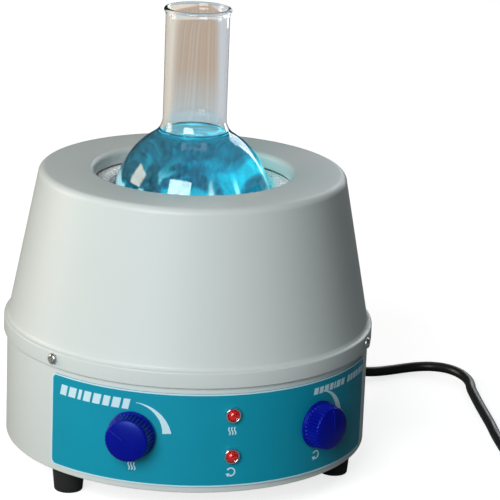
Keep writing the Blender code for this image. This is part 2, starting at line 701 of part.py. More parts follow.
def make_liquid(parts):
    """The liquid, with the space at the bottom that the stirring bar sweeps."""
    surface = BULB_Z + LIQUID_LEVEL
    swept_radius, swept_height = 13.2 * MM, 9.6 * MM
    inside = GLASS + GAP
    floor_z = BULB_Z - (BULB_RADIUS - inside)
    wall = [(r, z) for r, z in glass_profile(inside) if z < surface and r > swept_radius]
    across = NECK_RADIUS - inside + SHOULDER_FILLET + inside
    rise = math.sqrt((BULB_RADIUS + SHOULDER_FILLET) ** 2 - across**2)
    drop = BULB_Z + rise - surface
    edge = across - math.sqrt((SHOULDER_FILLET + inside) ** 2 - drop**2)
    low = BULB_Z - math.sqrt((BULB_RADIUS - inside) ** 2 - swept_radius**2)
    profile = [(0.0, surface), (edge, surface), *wall, (swept_radius, low)]
    profile += [(swept_radius, floor_z + swept_height), (0.0, floor_z + swept_height)]
    return turned("flask_liquid", profile, parts, "liquid", steps=24)


def make_stir_bar(parts):
    """The coated magnet bar with its pivot ring, lying on the flask's bottom."""
    half, radius = 11.5 * MM, 3.0 * MM
    profile = arc(0, half - radius, radius, 90, 20, 2) + [(radius, 1.2 * MM)]
    profile += [(radius + 0.5 * MM, 0.8 * MM), (radius + 0.5 * MM, -0.8 * MM)]
    profile += [(radius, -1.2 * MM)] + arc(0, radius - half, radius, -20, -90, 2)
    bar = turned("stir_bar", pin_ends(profile), parts, "ptfe", steps=14)
    inside = BULB_RADIUS - GLASS
    end_reach = half - radius
    centre = BULB_Z - math.sqrt((inside - radius - GAP) ** 2 - end_reach**2)
    bar.rotation_euler = (0.0, math.pi / 2, 0.0)
    bar.location = (0.0, 0.0, centre)


# Mains cord


def make_strain_relief(parts):
    """The tapered boot that the cord comes out of, and its lock nut inside the wall."""
    flange = DRUM_RADIUS + GAP
    base = 7.4 * MM
    profile = [(0.0, BOOT_TIP), (CORD_RADIUS + 0.9 * MM, BOOT_TIP)]
    rings = 3
    start, stop = flange + 6.0 * MM, BOOT_TIP - 3.0 * MM
    for i in range(rings):
        high = stop - (stop - start) * i / rings
        low = high - (stop - start) * 0.5 / rings
        radius = (4.3 + 0.35 * i) * MM
        profile += [(radius, high), (radius + 0.1 * MM, low)]
        profile += [(radius - 0.5 * MM, low - 0.4 * MM)]
    profile += [(6.2 * MM, flange + 3.4 * MM), (base, flange + 2.6 * MM), (base, flange)]
    profile += [(4.6 * MM, flange), (4.6 * MM, 90.0 * MM), (0.0, 90.0 * MM)]
    boot = turned("cord_strain_relief", profile, parts, "rubber", steps=16)
    face_outward(boot, CORD_AZIMUTH, CORD_EXIT_Z)
    outlines = [polygon(7.0 * MM, 6), polygon(4.9 * MM, 16)]
    nut = flat_outline("strain_relief_nut", outlines, 3.0 * MM, parts, "black")
    nut.rotation_euler = (math.pi / 2, 0.0, math.radians(CORD_AZIMUTH))
    reach = outward(CORD_AZIMUTH) * (DRUM_RADIUS - WALL - 3.0 * MM)
    nut.location = reach + Vector((0.0, 0.0, CORD_EXIT_Z))


def make_cord(parts):
    """The cord along its route, its coil, the tie around the coil and the tail."""
    points = smooth_route(CORD_ROUTE, CORD_POINT_SPACING)
    tube("mains_cord", points, CORD_RADIUS, parts, "rubber")
    tube("cord_tail", smooth_route(TAIL_ROUTE, 6.0 * MM), CORD_RADIUS, parts, "rubber")
    profile = arc(COIL_RADIUS, 0.0, BUNDLE_RADIUS, 0, -330, 11)
    coil = turned("cord_coil", profile, parts, "rubber", steps=36, ring=True)
    coil.location = COIL_CENTRE


def make_tie(parts):
    """A strap around the bundle of turns, on the coil's side nearer the object."""
    inner = BUNDLE_RADIUS + GAP
    outlines = [polygon(inner + STRAP, 24), polygon(inner, 24)]
    strap = flat_outline("cord_tie", outlines, STRAP_WIDTH, parts, "black")
    strap.rotation_euler = (math.pi / 2, 0.0, 0.0)
    strap.location = COIL_CENTRE + Vector((-COIL_RADIUS, 0.0, 0.0))


def make_plug(parts):
    """The moulded plug at the cord's end, lying beside the coil, with its three pins."""
    length = 40.0 * MM
    neck = CORD_RADIUS + 1.2 * MM
    profile = [
        (0.0, 0.0), (neck, 0.0), (neck + 0.9 * MM, -12.0 * MM), (8.0 * MM, -16.0 * MM),
        (12.2 * MM, -22.0 * MM), (13.2 * MM, -27.0 * MM), (13.2 * MM, -length + 1.0 * MM),
        (12.2 * MM, -length), (0.0, -length),
    ]
    body = turned("plug_body", profile, parts, "rubber", steps=22)
    body.rotation_euler = (math.pi / 2, 0.0, 0.0)
    body.location = PLUG_START
    face_y = PLUG_START.y + length + GAP
    for side, name in ((-1, "plug_blade_left"), (1, "plug_blade_right")):
        size = (1.5 * MM, 16.0 * MM, 6.3 * MM)
        place = (PLUG_START.x + side * 6.35 * MM, face_y + 8.0 * MM, PLUG_START.z + 2.0 * MM)
        box(name, size, place, parts, "brass", bevel=0.3 * MM)
    pin = cylinder("plug_ground_pin", 2.4 * MM, -18.0 * MM, 0.0, parts, "brass", sides=12)
    pin.rotation_euler = (math.pi / 2, 0.0, 0.0)
    pin.location = (PLUG_START.x, face_y, PLUG_START.z - 6.0 * MM)


def main():
    clear_scene()
    parts = make_collection("stirring_mantle_and_flask")
    cutters = make_collection("cutters")
    shell = make_upper_shell(parts)
    drum = make_lower_drum(parts)
    label = make_label(parts)
    make_base_plate(parts, cutters)
    make_feet(parts)
    make_housing_screws(parts)
    make_heating_bed(parts)
    make_heating_element(parts)
    make_insulation(parts)
    make_inner_bowl(parts)
    make_motor(parts)
    make_drive(parts)
    make_board(parts)
    low, high = 92.0 * MM, 106.0 * MM
    for name, azimuth, clock in (
        ("heat", -CONTROL_AZIMUTH, HEAT_POINTER_CLOCK), ("stir", CONTROL_AZIMUTH, 0.0)
    ):
        make_pot(name, azimuth, parts)
        make_knob(name, azimuth, clock, parts, cutters)
        hole = BUSHING_RADIUS + GAP
        place = (low, high, azimuth, CONTROL_Z, cutters)
        radial_hole((drum, label), f"{name}_hole", hole, *place)
    for name, height in LAMP_ZS.items():
        make_lamp(name, height, parts)
        hole = LAMP_BODY_RADIUS + GAP
        radial_hole((drum, label), f"{name}_lamp_hole", hole, low, high, 0.0, height, cutters)
    for place, azimuth in SCREW_AZIMUTHS.items():
        name = f"screw_hole_{place}"
        radial_hole((shell, drum), name, 1.8 * MM, low, high, azimuth, SCREW_Z, cutters)
    radial_hole((drum,), "cord_hole", 4.9 * MM, low, high, CORD_AZIMUTH, CORD_EXIT_Z, cutters)
    make_flask(parts)
    make_liquid(parts)
    make_stir_bar(parts)
    make_strain_relief(parts)
    make_cord(parts)
    make_tie(parts)
    make_plug(parts)


main()
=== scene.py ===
"""Looks of a stirring heating mantle with a round bottom flask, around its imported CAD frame.

Metres, +Z up, the frame's own origin: on the drum's axis, on the table. The front faces -Y.
An azimuth is measured from the front towards +X. A piece of the front panel is made along
local +Z and then turned to face out of the drum, so its local z is the distance from the axis.
"""

import math

import bmesh
import bpy
import numpy as np
from mathutils import Matrix, Vector


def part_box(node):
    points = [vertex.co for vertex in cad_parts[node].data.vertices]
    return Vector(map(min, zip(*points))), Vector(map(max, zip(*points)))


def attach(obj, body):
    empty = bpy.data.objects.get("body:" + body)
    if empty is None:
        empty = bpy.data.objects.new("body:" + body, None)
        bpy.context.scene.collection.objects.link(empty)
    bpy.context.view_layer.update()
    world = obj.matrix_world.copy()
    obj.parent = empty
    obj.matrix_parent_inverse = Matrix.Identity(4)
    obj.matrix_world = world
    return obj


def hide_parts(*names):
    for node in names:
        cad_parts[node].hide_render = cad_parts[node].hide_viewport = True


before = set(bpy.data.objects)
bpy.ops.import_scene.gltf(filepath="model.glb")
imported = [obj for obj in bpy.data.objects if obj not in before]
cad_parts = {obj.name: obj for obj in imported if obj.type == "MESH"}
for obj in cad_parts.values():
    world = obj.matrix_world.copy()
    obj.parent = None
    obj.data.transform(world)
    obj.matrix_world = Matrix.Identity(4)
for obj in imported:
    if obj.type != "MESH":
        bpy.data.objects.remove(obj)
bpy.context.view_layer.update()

MM = 0.001


def middle(name):
    """The middle of a CAD node's box."""
    low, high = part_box(name)
    return (low + high) / 2


# Housing, from the frame's boxes where the CAD states them
SHELL_LOW, SHELL_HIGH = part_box("upper_shell")
DRUM_LOW, DRUM_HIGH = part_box("lower_drum")
LABEL_LOW, LABEL_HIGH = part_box("front_label")
SEAM_Z = SHELL_LOW.z
TOP_Z = SHELL_HIGH.z
FLANGE_RADIUS = SHELL_HIGH.x
DRUM_RADIUS = DRUM_HIGH.x
LABEL_RADIUS = DRUM_RADIUS + 0.8 * MM  # the label's outer face
LABEL_HALF_ANGLE = 59.0
LABEL_CORNER = 3.0 * MM
LABEL_THICKNESS = 0.5 * MM
WALL = 1.5 * MM
OPENING_RADIUS = 53.5 * MM
LIP_DEPTH = 8.0 * MM
CONE_BASE_RADIUS = 98.3 * MM
CONE_TOP_RADIUS = 83.6 * MM

# Flask
FLASK_LOW, FLASK_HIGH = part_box("flask_glass")
BULB_RADIUS = FLASK_HIGH.x
BULB_Z = FLASK_LOW.z + BULB_RADIUS
RIM_Z = FLASK_HIGH.z
NECK_RADIUS = 17.2 * MM
RIM_RADIUS = 18.2 * MM
GLASS = 1.6 * MM
SHOULDER_FILLET = 11.0 * MM
LIQUID_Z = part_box("flask_liquid")[1].z

# Front controls
CONTROL_AZIMUTH = 30.0
CONTROL_Z = middle("stir_knob").z
KNOB_RADIUS = 12.85 * MM
KNOB_BACK = 100.9 * MM
KNOB_SHOULDER = 109.9 * MM  # where the flutes end and the dome begins
KNOB_FACE = 112.7 * MM
FLUTES = 36
LAMP_NAMES = ("upper", "lower")
SCREW_AZIMUTHS = {"front_left": -58.0, "front_right": 58.0, "rear": 180.0}
SCREW_HEAD_RADIUS = 3.0 * MM
FOOT_NAMES = ("front_left", "front_right", "rear")

# Mains cord: the routes of part.py in metres, and the coil that joins them
CORD_RADIUS = 3.0 * MM
CORD_AZIMUTH = 131.0
CORD_EXIT_Z = 26.0 * MM
BOOT_TIP = 124.0 * MM
COIL_CENTRE = Vector((0.2095, -0.0970, 0.0106))
COIL_RADIUS = 32.5 * MM
STRAND_CIRCLE = 6.15 * MM  # six strands on a ring of this radius clear each other
COIL_TURNS = 5.5
POINTS_PER_TURN = 20
CORD_ROUTE = (
    (0.0941, 0.0818, 0.0260), (0.1011, 0.0876, 0.0253), (0.1088, 0.0927, 0.0217),
    (0.1170, 0.0969, 0.0154), (0.1256, 0.1004, 0.0094), (0.1346, 0.1028, 0.0053),
    (0.1444, 0.1046, 0.0036), (0.1562, 0.1072, 0.0031), (0.1658, 0.1091, 0.0032),
    (0.1749, 0.1092, 0.0036), (0.1835, 0.1063, 0.0042), (0.1906, 0.1005, 0.0045),
    (0.1953, 0.0928, 0.0042), (0.1972, 0.0839, 0.0036), (0.1964, 0.0748, 0.0032),
    (0.1940, 0.0660, 0.0031), (0.1906, 0.0470, 0.0031), (0.1874, 0.0270, 0.0031),
    (0.1844, 0.0070, 0.0031), (0.1810, -0.0120, 0.0031), (0.1782, -0.0320, 0.0031),
    (0.1760, -0.0500, 0.0032), (0.1746, -0.0660, 0.0036), (0.1740, -0.0810, 0.0046),
)
TAIL_ROUTE = (
    (0.2475, -0.0880, 0.0072), (0.2477, -0.0800, 0.0076), (0.2476, -0.0730, 0.0092),
    (0.2474, -0.0650, 0.0118), (0.2473, -0.0575, 0.0135), (0.2472, -0.0503, 0.0140),
)

# Camera and studio

CAMERA_YAW = math.radians(15.7)
CAMERA_DROP = math.radians(16.37)
CAMERA_ROLL = math.radians(2.25)
CAMERA_DISTANCE = 1.3996
CAMERA_FOCAL_MM = 184.67
CAMERA_SENSOR_MM = 36.0
TARGET_ACROSS = 0.0325
TARGET_Z = 0.1189
ACROSS = Vector((math.cos(CAMERA_YAW), -math.sin(CAMERA_YAW), 0.0))
AWAY = Vector((math.sin(CAMERA_YAW), math.cos(CAMERA_YAW), 0.0))

# Each softbox: name, place, size, watts and colour
SOFTBOXES = (
    ("main", (-0.74, -1.03, 0.70), (0.8, 0.8), 17.4, (0.96, 1.0, 1.0)),
    ("left", (-1.10, 0.50, 0.40), (0.5, 0.7), 6.2, (1.0, 0.86, 0.70)),
    ("top", (0.10, 0.30, 1.30), (0.6, 0.6), 0.9, (0.88, 0.96, 1.0)),
    ("rim", (0.90, 0.80, 0.25), (0.12, 0.8), 0.9, (1.0, 1.0, 1.0)),
    ("far", (0.75, 1.00, 0.60), (0.6, 0.6), 3.2, (0.92, 0.97, 1.0)),
)
LIGHT_AIM = Vector((0.0, 0.0, 0.10))


def put_in_scene(thing):
    bpy.context.scene.collection.objects.link(thing)
    return thing


def make_camera():
    """A long lens that looks down and a little from the left, with a slight roll."""
    forward = AWAY * math.cos(CAMERA_DROP) - Vector((0.0, 0.0, math.sin(CAMERA_DROP)))
    target = ACROSS * TARGET_ACROSS + Vector((0.0, 0.0, TARGET_Z))
    upright = ACROSS.cross(forward)
    across = math.cos(CAMERA_ROLL) * ACROSS + math.sin(CAMERA_ROLL) * upright
    up = math.cos(CAMERA_ROLL) * upright - math.sin(CAMERA_ROLL) * ACROSS
    lens = bpy.data.cameras.new("camera")
    lens.lens = CAMERA_FOCAL_MM
    lens.sensor_width = CAMERA_SENSOR_MM
    lens.clip_start = 0.05
    lens.clip_end = 60.0
    camera = put_in_scene(bpy.data.objects.new("camera", lens))
    turn = Matrix((across, up, -forward)).transposed().to_4x4()
    camera.matrix_world = Matrix.Translation(target - forward * CAMERA_DISTANCE) @ turn
    bpy.context.scene.camera = camera


def make_lights():
    """A broad main light beside the camera, a warm one on the left, a weak one above, a rim
    strip behind and a fill for the far side. The camera sees none of them."""
    for name, place, size, power, colour in SOFTBOXES:
        data = bpy.data.lights.new(name, "AREA")
        data.shape = "RECTANGLE"
        data.size, data.size_y = size
        data.energy = power
        data.color = colour
        lamp = put_in_scene(bpy.data.objects.new(name, data))
        lamp.location = place
        lamp.rotation_euler = (LIGHT_AIM - Vector(place)).to_track_quat("-Z", "Y").to_euler()
        lamp.visible_camera = False


def node(tree, kind, inputs=None, **settings):
    """A shader node. An input is a value, or another node's output to link."""
    made = tree.nodes.new(f"ShaderNode{kind}")
    for name, value in settings.items():
        setattr(made, name, value)
    for name, value in (inputs or {}).items():
        if isinstance(value, bpy.types.NodeSocket):
            tree.links.new(value, made.inputs[name])
        else:
            made.inputs[name].default_value = value
    return made


def backdrop(tree, plain, seen, through):
    """What camera rays see, what rays through the glass see, and what all others see."""
    ray = node(tree, "LightPath").outputs
    glass = node(tree, "MixShader", {0: ray["Is Transmission Ray"], 1: plain, 2: through})
    mix = node(tree, "MixShader", {0: ray["Is Camera Ray"], 1: glass.outputs[0], 2: seen})
    return mix.outputs[0]


def make_world():
    """White where the camera looks straight at it, pale through glass, and a dim even room for
    everything else."""
    world = bpy.data.worlds.new("studio")
    bpy.context.scene.world = world
    world.use_nodes = True
    tree = world.node_tree
    tree.nodes.clear()
    room, white, pale = (
        node(tree, "Background", {"Color": (*colour, 1.0), "Strength": strength}).outputs[0]
        for colour, strength in (
            ((0.88, 0.98, 1.0), 0.06), ((1.0, 1.0, 1.0), 1.0), ((0.70, 0.74, 0.76), 1.0),
        )
    )
    node(tree, "OutputWorld", {"Surface": backdrop(tree, room, white, pale)})


def behind_the_glass(tree):
    """What the glass shows of the room behind it: a tan strip that turns bluish nearer the
    object, pale on both sides, with faint upright streaks."""
    place = node(tree, "TexCoord").outputs["Object"]
    across, away = (
        node(tree, "VectorMath", {0: place, 1: way}, operation="DOT_PRODUCT").outputs["Value"]
        for way in (ACROSS, AWAY)
    )
    near = spread(tree, away, 0.0, 1.0, 1.0, 0.76)
    centre = blend(tree, near, (0.48, 0.355, 0.27), (0.46, 0.56, 0.62))
    lengthwise = node(tree, "CombineXYZ", {"X": across}).outputs["Vector"]
    streaks = node(tree, "TexNoise", {"Vector": lengthwise, "Scale": 95.0, "Detail": 2.0})
    share = spread(tree, streaks.outputs["Fac"], 0.0, 0.35, 0.46, 0.8)
    centre = blend(tree, share, centre, (0.86, 0.86, 0.86))
    left = spread(tree, across, 0.0, 1.0, -0.10, -0.20)
    right = spread(tree, across, 0.0, 1.0, 0.05, 0.13)
    centre = blend(tree, left, centre, (0.78, 0.70, 0.60))
    return blend(tree, right, centre, (0.60, 0.63, 0.70))


def make_floor():
    """A very large pale floor that keeps a soft shadow near the object and glows more further
    away, so that no horizon shows."""
    mesh = bpy.data.meshes.new("floor")
    form = bmesh.new()
    bmesh.ops.create_grid(form, x_segments=1, y_segments=1, size=60.0)
    form.to_mesh(mesh)
    form.free()
    material = bpy.data.materials.new("floor_paint")
    material.use_nodes = True
    tree = material.node_tree
    tree.nodes.clear()
    dim = node(tree, "BsdfDiffuse", {"Color": (0.25, 0.26, 0.26, 1.0)})
    paint = node(tree, "BsdfDiffuse", {"Color": (0.62, 0.62, 0.62, 1.0)})
    place = node(tree, "TexCoord").outputs["Object"]
    reach = node(tree, "VectorMath", {0: place}, operation="LENGTH").outputs["Value"]
    strength = spread(tree, reach, 0.76, 1.0, 0.8, 2.6)
    glow = node(tree, "Emission", {"Color": (1.0, 1.0, 1.0, 1.0), "Strength": strength})
    lit = node(tree, "AddShader", {0: paint.outputs[0], 1: glow.outputs[0]})
    beyond = node(tree, "Emission", {"Color": behind_the_glass(tree), "Strength": 1.0})
    mix = backdrop(tree, dim.outputs[0], lit.outputs[0], beyond.outputs[0])
    node(tree, "OutputMaterial", {"Surface": mix})
    mesh.materials.append(material)
    floor = new_piece("floor", mesh)
    floor.location.z = -0.2 * MM


# Mesh helpers


def arc(centre_x, centre_z, radius, start, end, count):
    """Points on an arc in the XZ plane. Angles are in degrees from +X towards +Z."""
    points = []
    for i in range(count + 1):
        angle = math.radians(start + (end - start) * i / count)
        points.append((centre_x + radius * math.cos(angle), centre_z + radius * math.sin(angle)))
    return points


def rounded(corners, steps=5):
    """A profile through (radius, z, fillet) corners, with each corner rounded to its fillet."""
    profile = [corners[0][:2]]
    for before, here, after in zip(corners, corners[1:], corners[2:]):
        fillet = here[2]
        point = Vector(here[:2])
        back = Vector(before[:2]) - point
        ahead = Vector(after[:2]) - point
        if fillet <= 0.0:
            profile.append(tuple(point))
            continue
        half = back.angle(ahead) / 2
        reach = min(fillet / math.tan(half), 0.49 * back.length, 0.49 * ahead.length)
        start = point + back.normalized() * reach
        end = point + ahead.normalized() * reach
        for i in range(steps + 1):
            t = i / steps
            profile.append(tuple((1 - t) ** 2 * start + 2 * t * (1 - t) * point + t**2 * end))
    profile.append(corners[-1][:2])
    return profile


def section(base, corners):
    """A rounded profile from (radius, height above a base, fillet) corners in millimetres."""
    return rounded([(radius * MM, base + z * MM, fillet * MM) for radius, z, fillet in corners])


def new_piece(name, data):
    """An object for a finished mesh or curve."""
    return put_in_scene(bpy.data.objects.new(name, data))


def tube(name, points, radius, resolution, closed=False):
    """A round tube through points."""
    curve = bpy.data.curves.new(name, "CURVE")
    curve.dimensions = "3D"
    curve.bevel_depth = radius
    curve.bevel_resolution = resolution
    curve.use_fill_caps = not closed
    spline = curve.splines.new("POLY")
    spline.points.add(len(points) - 1)
    for point, place in zip(spline.points, points):
        point.co = (*place, 1.0)
    spline.use_cyclic_u = closed
    return new_piece(name, curve)


def mesh_from(name, points, faces, sharp=38.0):
    """A mesh with its faces turned outward and shaded smooth up to an angle."""
    mesh = bpy.data.meshes.new(name)
    mesh.from_pydata([tuple(p) for p in points], [], faces)
    form = bmesh.new()
    form.from_mesh(mesh)
    bmesh.ops.remove_doubles(form, verts=form.verts, dist=1e-7)
    bmesh.ops.recalc_face_normals(form, faces=form.faces)
    form.to_mesh(mesh)
    form.free()
    mesh.shade_smooth()
    mesh.set_sharp_from_angle(angle=math.radians(sharp))
    return mesh


def circle(radius, z, steps, shape=None):
    """Points on a level circle about local Z. shape(radius, z, angle) may change a point's
    radius, for flutes and ribs."""
    points = []
    for j in range(steps):
        angle = math.tau * j / steps
        reach = shape(radius, z, angle) if shape else radius
        points.append((reach * math.cos(angle), reach * math.sin(angle), z))
    return points


def grid_faces(rows, columns, wrap_rows=False, wrap_columns=True):
    """Quads over a grid whose points are stored row by row."""
    faces = []
    for i in range(rows if wrap_rows else rows - 1):
        for j in range(columns if wrap_columns else columns - 1):
            below = (i + 1) % rows
            beside = (j + 1) % columns
            faces.append(
                (i * columns + j, i * columns + beside, below * columns + beside,
                 below * columns + j)
            )
    return faces


def lathe(name, profile, steps=96, ring=False, shape=None, sharp=38.0):
    """A turned piece about local Z. A profile that ends on the axis or is a ring needs no
    end faces."""
    points = []
    for radius, z in profile:
        points += circle(radius, z, steps, shape)
    faces = grid_faces(len(profile), steps, wrap_rows=ring)
    if not ring:
        for row in (0, len(profile) - 1):
            if profile[row][0] > 1e-7:
                faces.append(tuple(range(row * steps, row * steps + steps)))
    return new_piece(name, mesh_from(name, points, faces, sharp))


def loft(name, sections, sharp=38.0):
    """A closed piece through equally long rings of points."""
    count = len(sections[0])
    points = [p for ring in sections for p in ring]
    faces = grid_faces(len(sections), count)
    faces.append(tuple(range(count)))
    faces.append(tuple(range((len(sections) - 1) * count, len(sections) * count)))
    return new_piece(name, mesh_from(name, points, faces, sharp))


def join(first, *others):
    """Join pieces into the first one."""
    form = bmesh.new()
    form.from_mesh(first.data)
    for other in others:
        other.data.transform(other.matrix_basis)
        form.from_mesh(other.data)
    form.to_mesh(first.data)
    form.free()
    for other in others:
        bpy.data.objects.remove(other, do_unlink=True)
    return first


def face_outward(piece, azimuth, height):
    """Turn a piece made along local Z so that it points out of the drum."""
    piece.rotation_euler = (math.pi / 2, 0.0, math.radians(azimuth))
    piece.location = (0.0, 0.0, height)


# Materials


def surface(name, colour, roughness, metallic=0.0, **sockets):
    """A Principled material. Extra sockets are named with underscores for spaces."""
    material = bpy.data.materials.new(name)
    material.use_nodes = True
    tree = material.node_tree
    shader = tree.nodes["Principled BSDF"]
    shader.inputs["Base Color"].default_value = (*colour, 1.0)
    shader.inputs["Roughness"].default_value = roughness
    shader.inputs["Metallic"].default_value = metallic
    for key, value in sockets.items():
        shader.inputs[key.replace("_", " ")].default_value = value
    return material, tree, shader


def coordinates(tree, stretch=(1.0, 1.0, 1.0)):
    """Object coordinates, stretched for brushed or drawn surfaces."""
    place = node(tree, "TexCoord").outputs["Object"]
    return node(tree, "Mapping", {"Vector": place, "Scale": stretch}).outputs["Vector"]


def noise(tree, scale, detail=3.0, stretch=(1.0, 1.0, 1.0), roughness=0.55, distortion=0.0):
    inputs = {"Vector": coordinates(tree, stretch), "Scale": scale, "Detail": detail}
    inputs.update(Roughness=roughness, Distortion=distortion)
    return node(tree, "TexNoise", inputs).outputs["Fac"]


def spread(tree, value, low, high, start=0.3, end=0.7):
    """A value mapped so that start becomes low and end becomes high."""
    inputs = {"Value": value, "From Min": start, "From Max": end, "To Min": low, "To Max": high}
    return node(tree, "MapRange", inputs).outputs["Result"]


def combine(tree, operation, first, second):
    return node(tree, "Math", {0: first, 1: second}, operation=operation).outputs[0]


def feed(shader, socket, value):
    shader.id_data.links.new(value, shader.inputs[socket])


def blend(tree, share, first, second):
    """A colour between two colours."""
    made = node(tree, "Mix", {"Factor": share}, data_type="RGBA")
    for index, colour in ((6, first), (7, second)):
        if isinstance(colour, bpy.types.NodeSocket):
            tree.links.new(colour, made.inputs[index])
        else:
            made.inputs[index].default_value = (*colour, 1.0)
    return made.outputs[2]


def tone(colour, factor):
    return tuple(min(1.0, c * factor) for c in colour)


def shade(tree, shader, colour, share, darker, lighter):
    """The colour, between a darker and a lighter tone of it by a share."""
    mixed = blend(tree, share, tone(colour, darker), tone(colour, lighter))
    feed(shader, "Base Color", mixed)


def mottle(tree, shader, colour, scale, amount):
    """Slight colour variation over the surface."""
    share = spread(tree, noise(tree, scale), 0.0, 1.0)
    shade(tree, shader, colour, share, 1.0 - amount, 1.0 + amount)


def bump(tree, shader, height, distance, strength):
    made = node(tree, "Bump", {"Height": height, "Distance": distance, "Strength": strength})
    feed(shader, "Normal", made.outputs["Normal"])


def satin(
    name, colour, low, high, grain=1400.0, depth=0.02, strength=0.6, patches=(45.0, 0.06),
    gloss_scale=150.0, **sockets,
):
    """Plastic, rubber, film or paint: a fine grain, with faint patches in colour and gloss.
    The grain's depth is in millimetres, and patches are a scale and an amount."""
    material, tree, shader = surface(name, colour, (low + high) / 2, **sockets)
    mottle(tree, shader, colour, *patches)
    feed(shader, "Roughness", spread(tree, noise(tree, gloss_scale), low, high))
    bump(tree, shader, noise(tree, grain, 2.0), depth * MM, strength)
    return material


def powder_coat(name, colour):
    """Satin powder coat with a fine orange peel."""
    return satin(
        name, colour, 0.36, 0.46, 620.0, 0.03, 0.55, (9.0, 0.012), 260.0, Specular_IOR_Level=0.45
    )


def label_film(name, colour):
    """Printed polyester film with a barely visible texture."""
    return satin(
        name, colour, 0.40, 0.50, 1500.0, 0.008, 0.5, (30.0, 0.03), 400.0,
        Specular_IOR_Level=0.25,
    )


def metal(name, colour, low, high, stretch=(1.0, 1.0, 1.0), depth=0.01):
    """Bare or plated metal. The stretch draws the marks out along an axis."""
    material, tree, shader = surface(name, colour, (low + high) / 2, 1.0)
    mottle(tree, shader, colour, 60.0, 0.05)
    marks = noise(tree, 700.0, 3.0, stretch)
    feed(shader, "Roughness", spread(tree, marks, low, high))
    bump(tree, shader, marks, depth * MM, 0.5)
    return material


def knit_cloth(name, colour):
    """Glass fibre yarn: many bright filaments along each strand."""
    material, tree, shader = surface(name, colour, 0.50, Sheen_Weight=0.25)
    strands = noise(tree, 1500.0, 4.0, (1.0, 1.0, 0.35), 0.7)
    share = spread(tree, strands, 0.0, 1.0, 0.35, 0.65)
    shade(tree, shader, colour, share, 0.78, 1.12)
    feed(shader, "Roughness", spread(tree, strands, 0.62, 0.34))
    bump(tree, shader, strands, 0.12 * MM, 0.8)
    return material


def wool(name, colour):
    """Loose felted fibre."""
    material, tree, shader = surface(name, colour, 0.9, Sheen_Weight=0.3)
    mottle(tree, shader, colour, 220.0, 0.14)
    bump(tree, shader, noise(tree, 900.0, 6.0, (1.0, 1.0, 2.0), 0.75), 0.4 * MM, 0.9)
    return material


def braided(name, colour):
    """Woven sleeving: two crossed sets of strands."""
    material, tree, shader = surface(name, colour, 0.7)
    weave_inputs = {"Vector": coordinates(tree), "Scale": 380.0, "Distortion": 1.2, "Detail": 1.0}
    across, along = (
        node(tree, "TexWave", weave_inputs, bands_direction=direction).outputs["Fac"]
        for direction in ("X", "Z")
    )
    weave = combine(tree, "MAXIMUM", across, along)
    shade(tree, shader, colour, weave, 0.8, 1.05)
    bump(tree, shader, weave, 0.15 * MM, 0.8)
    return material


def circuit_board(name, colour):
    """Green board with lighter tracks under the mask."""
    material, tree, shader = surface(name, colour, 0.35, Coat_Weight=0.3)
    inputs = {"Vector": coordinates(tree), "Scale": 160.0, "Mortar Size": 0.05}
    for socket, factor in (("Color1", 1.0), ("Color2", 0.85), ("Mortar", 2.2)):
        inputs[socket] = (*tone(colour, factor), 1.0)
    tracks = node(tree, "TexBrick", inputs)
    feed(shader, "Base Color", tracks.outputs["Color"])
    bump(tree, shader, tracks.outputs["Fac"], 0.03 * MM, 0.6)
    return material


def lamp_glass(name, colour):
    """Red moulded lens with a faceted inside that the lamp lights up."""
    material, tree, shader = surface(
        name, colour, 0.12, Coat_Weight=1.0, Coat_Roughness=0.03, Emission_Strength=0.35,
        Subsurface_Weight=0.3, Subsurface_Scale=0.002,
    )
    cells = node(tree, "TexVoronoi", {"Vector": coordinates(tree), "Scale": 1100.0})
    share = spread(tree, cells.outputs["Distance"], 1.0, 0.0, 0.0, 0.8)
    shade(tree, shader, colour, share, 0.45, 1.5)
    feed(shader, "Emission Color", blend(tree, share, (0.25, 0.0, 0.0), (1.0, 0.03, 0.02)))
    bump(tree, shader, cells.outputs["Distance"], 0.15 * MM, 0.5)
    return material


def let_lamps_through(tree, shader, tint):
    """Rays from lamps and soft bounces go straight through, so what is behind is lit."""
    clear = node(tree, "BsdfTransparent", {"Color": (*tint, 1.0)}).outputs[0]
    ray = node(tree, "LightPath").outputs
    either = combine(tree, "MAXIMUM", ray["Is Shadow Ray"], ray["Is Diffuse Ray"])
    mix = node(tree, "MixShader", {0: either, 1: shader.outputs[0], 2: clear})
    output = tree.nodes["Material Output"]
    feed(output, "Surface", mix.outputs[0])
    return output


def flask_glass_material():
    """Borosilicate glass with the faintest ripple."""
    material, tree, shader = surface(
        "borosilicate", (0.97, 0.985, 0.98), 0.0, Transmission_Weight=1.0, IOR=1.47
    )
    bump(tree, shader, noise(tree, 38.0, 1.0, (1.0, 1.0, 0.35)), 0.12 * MM, 0.25)
    let_lamps_through(tree, shader, (0.94, 0.96, 0.95))
    return material


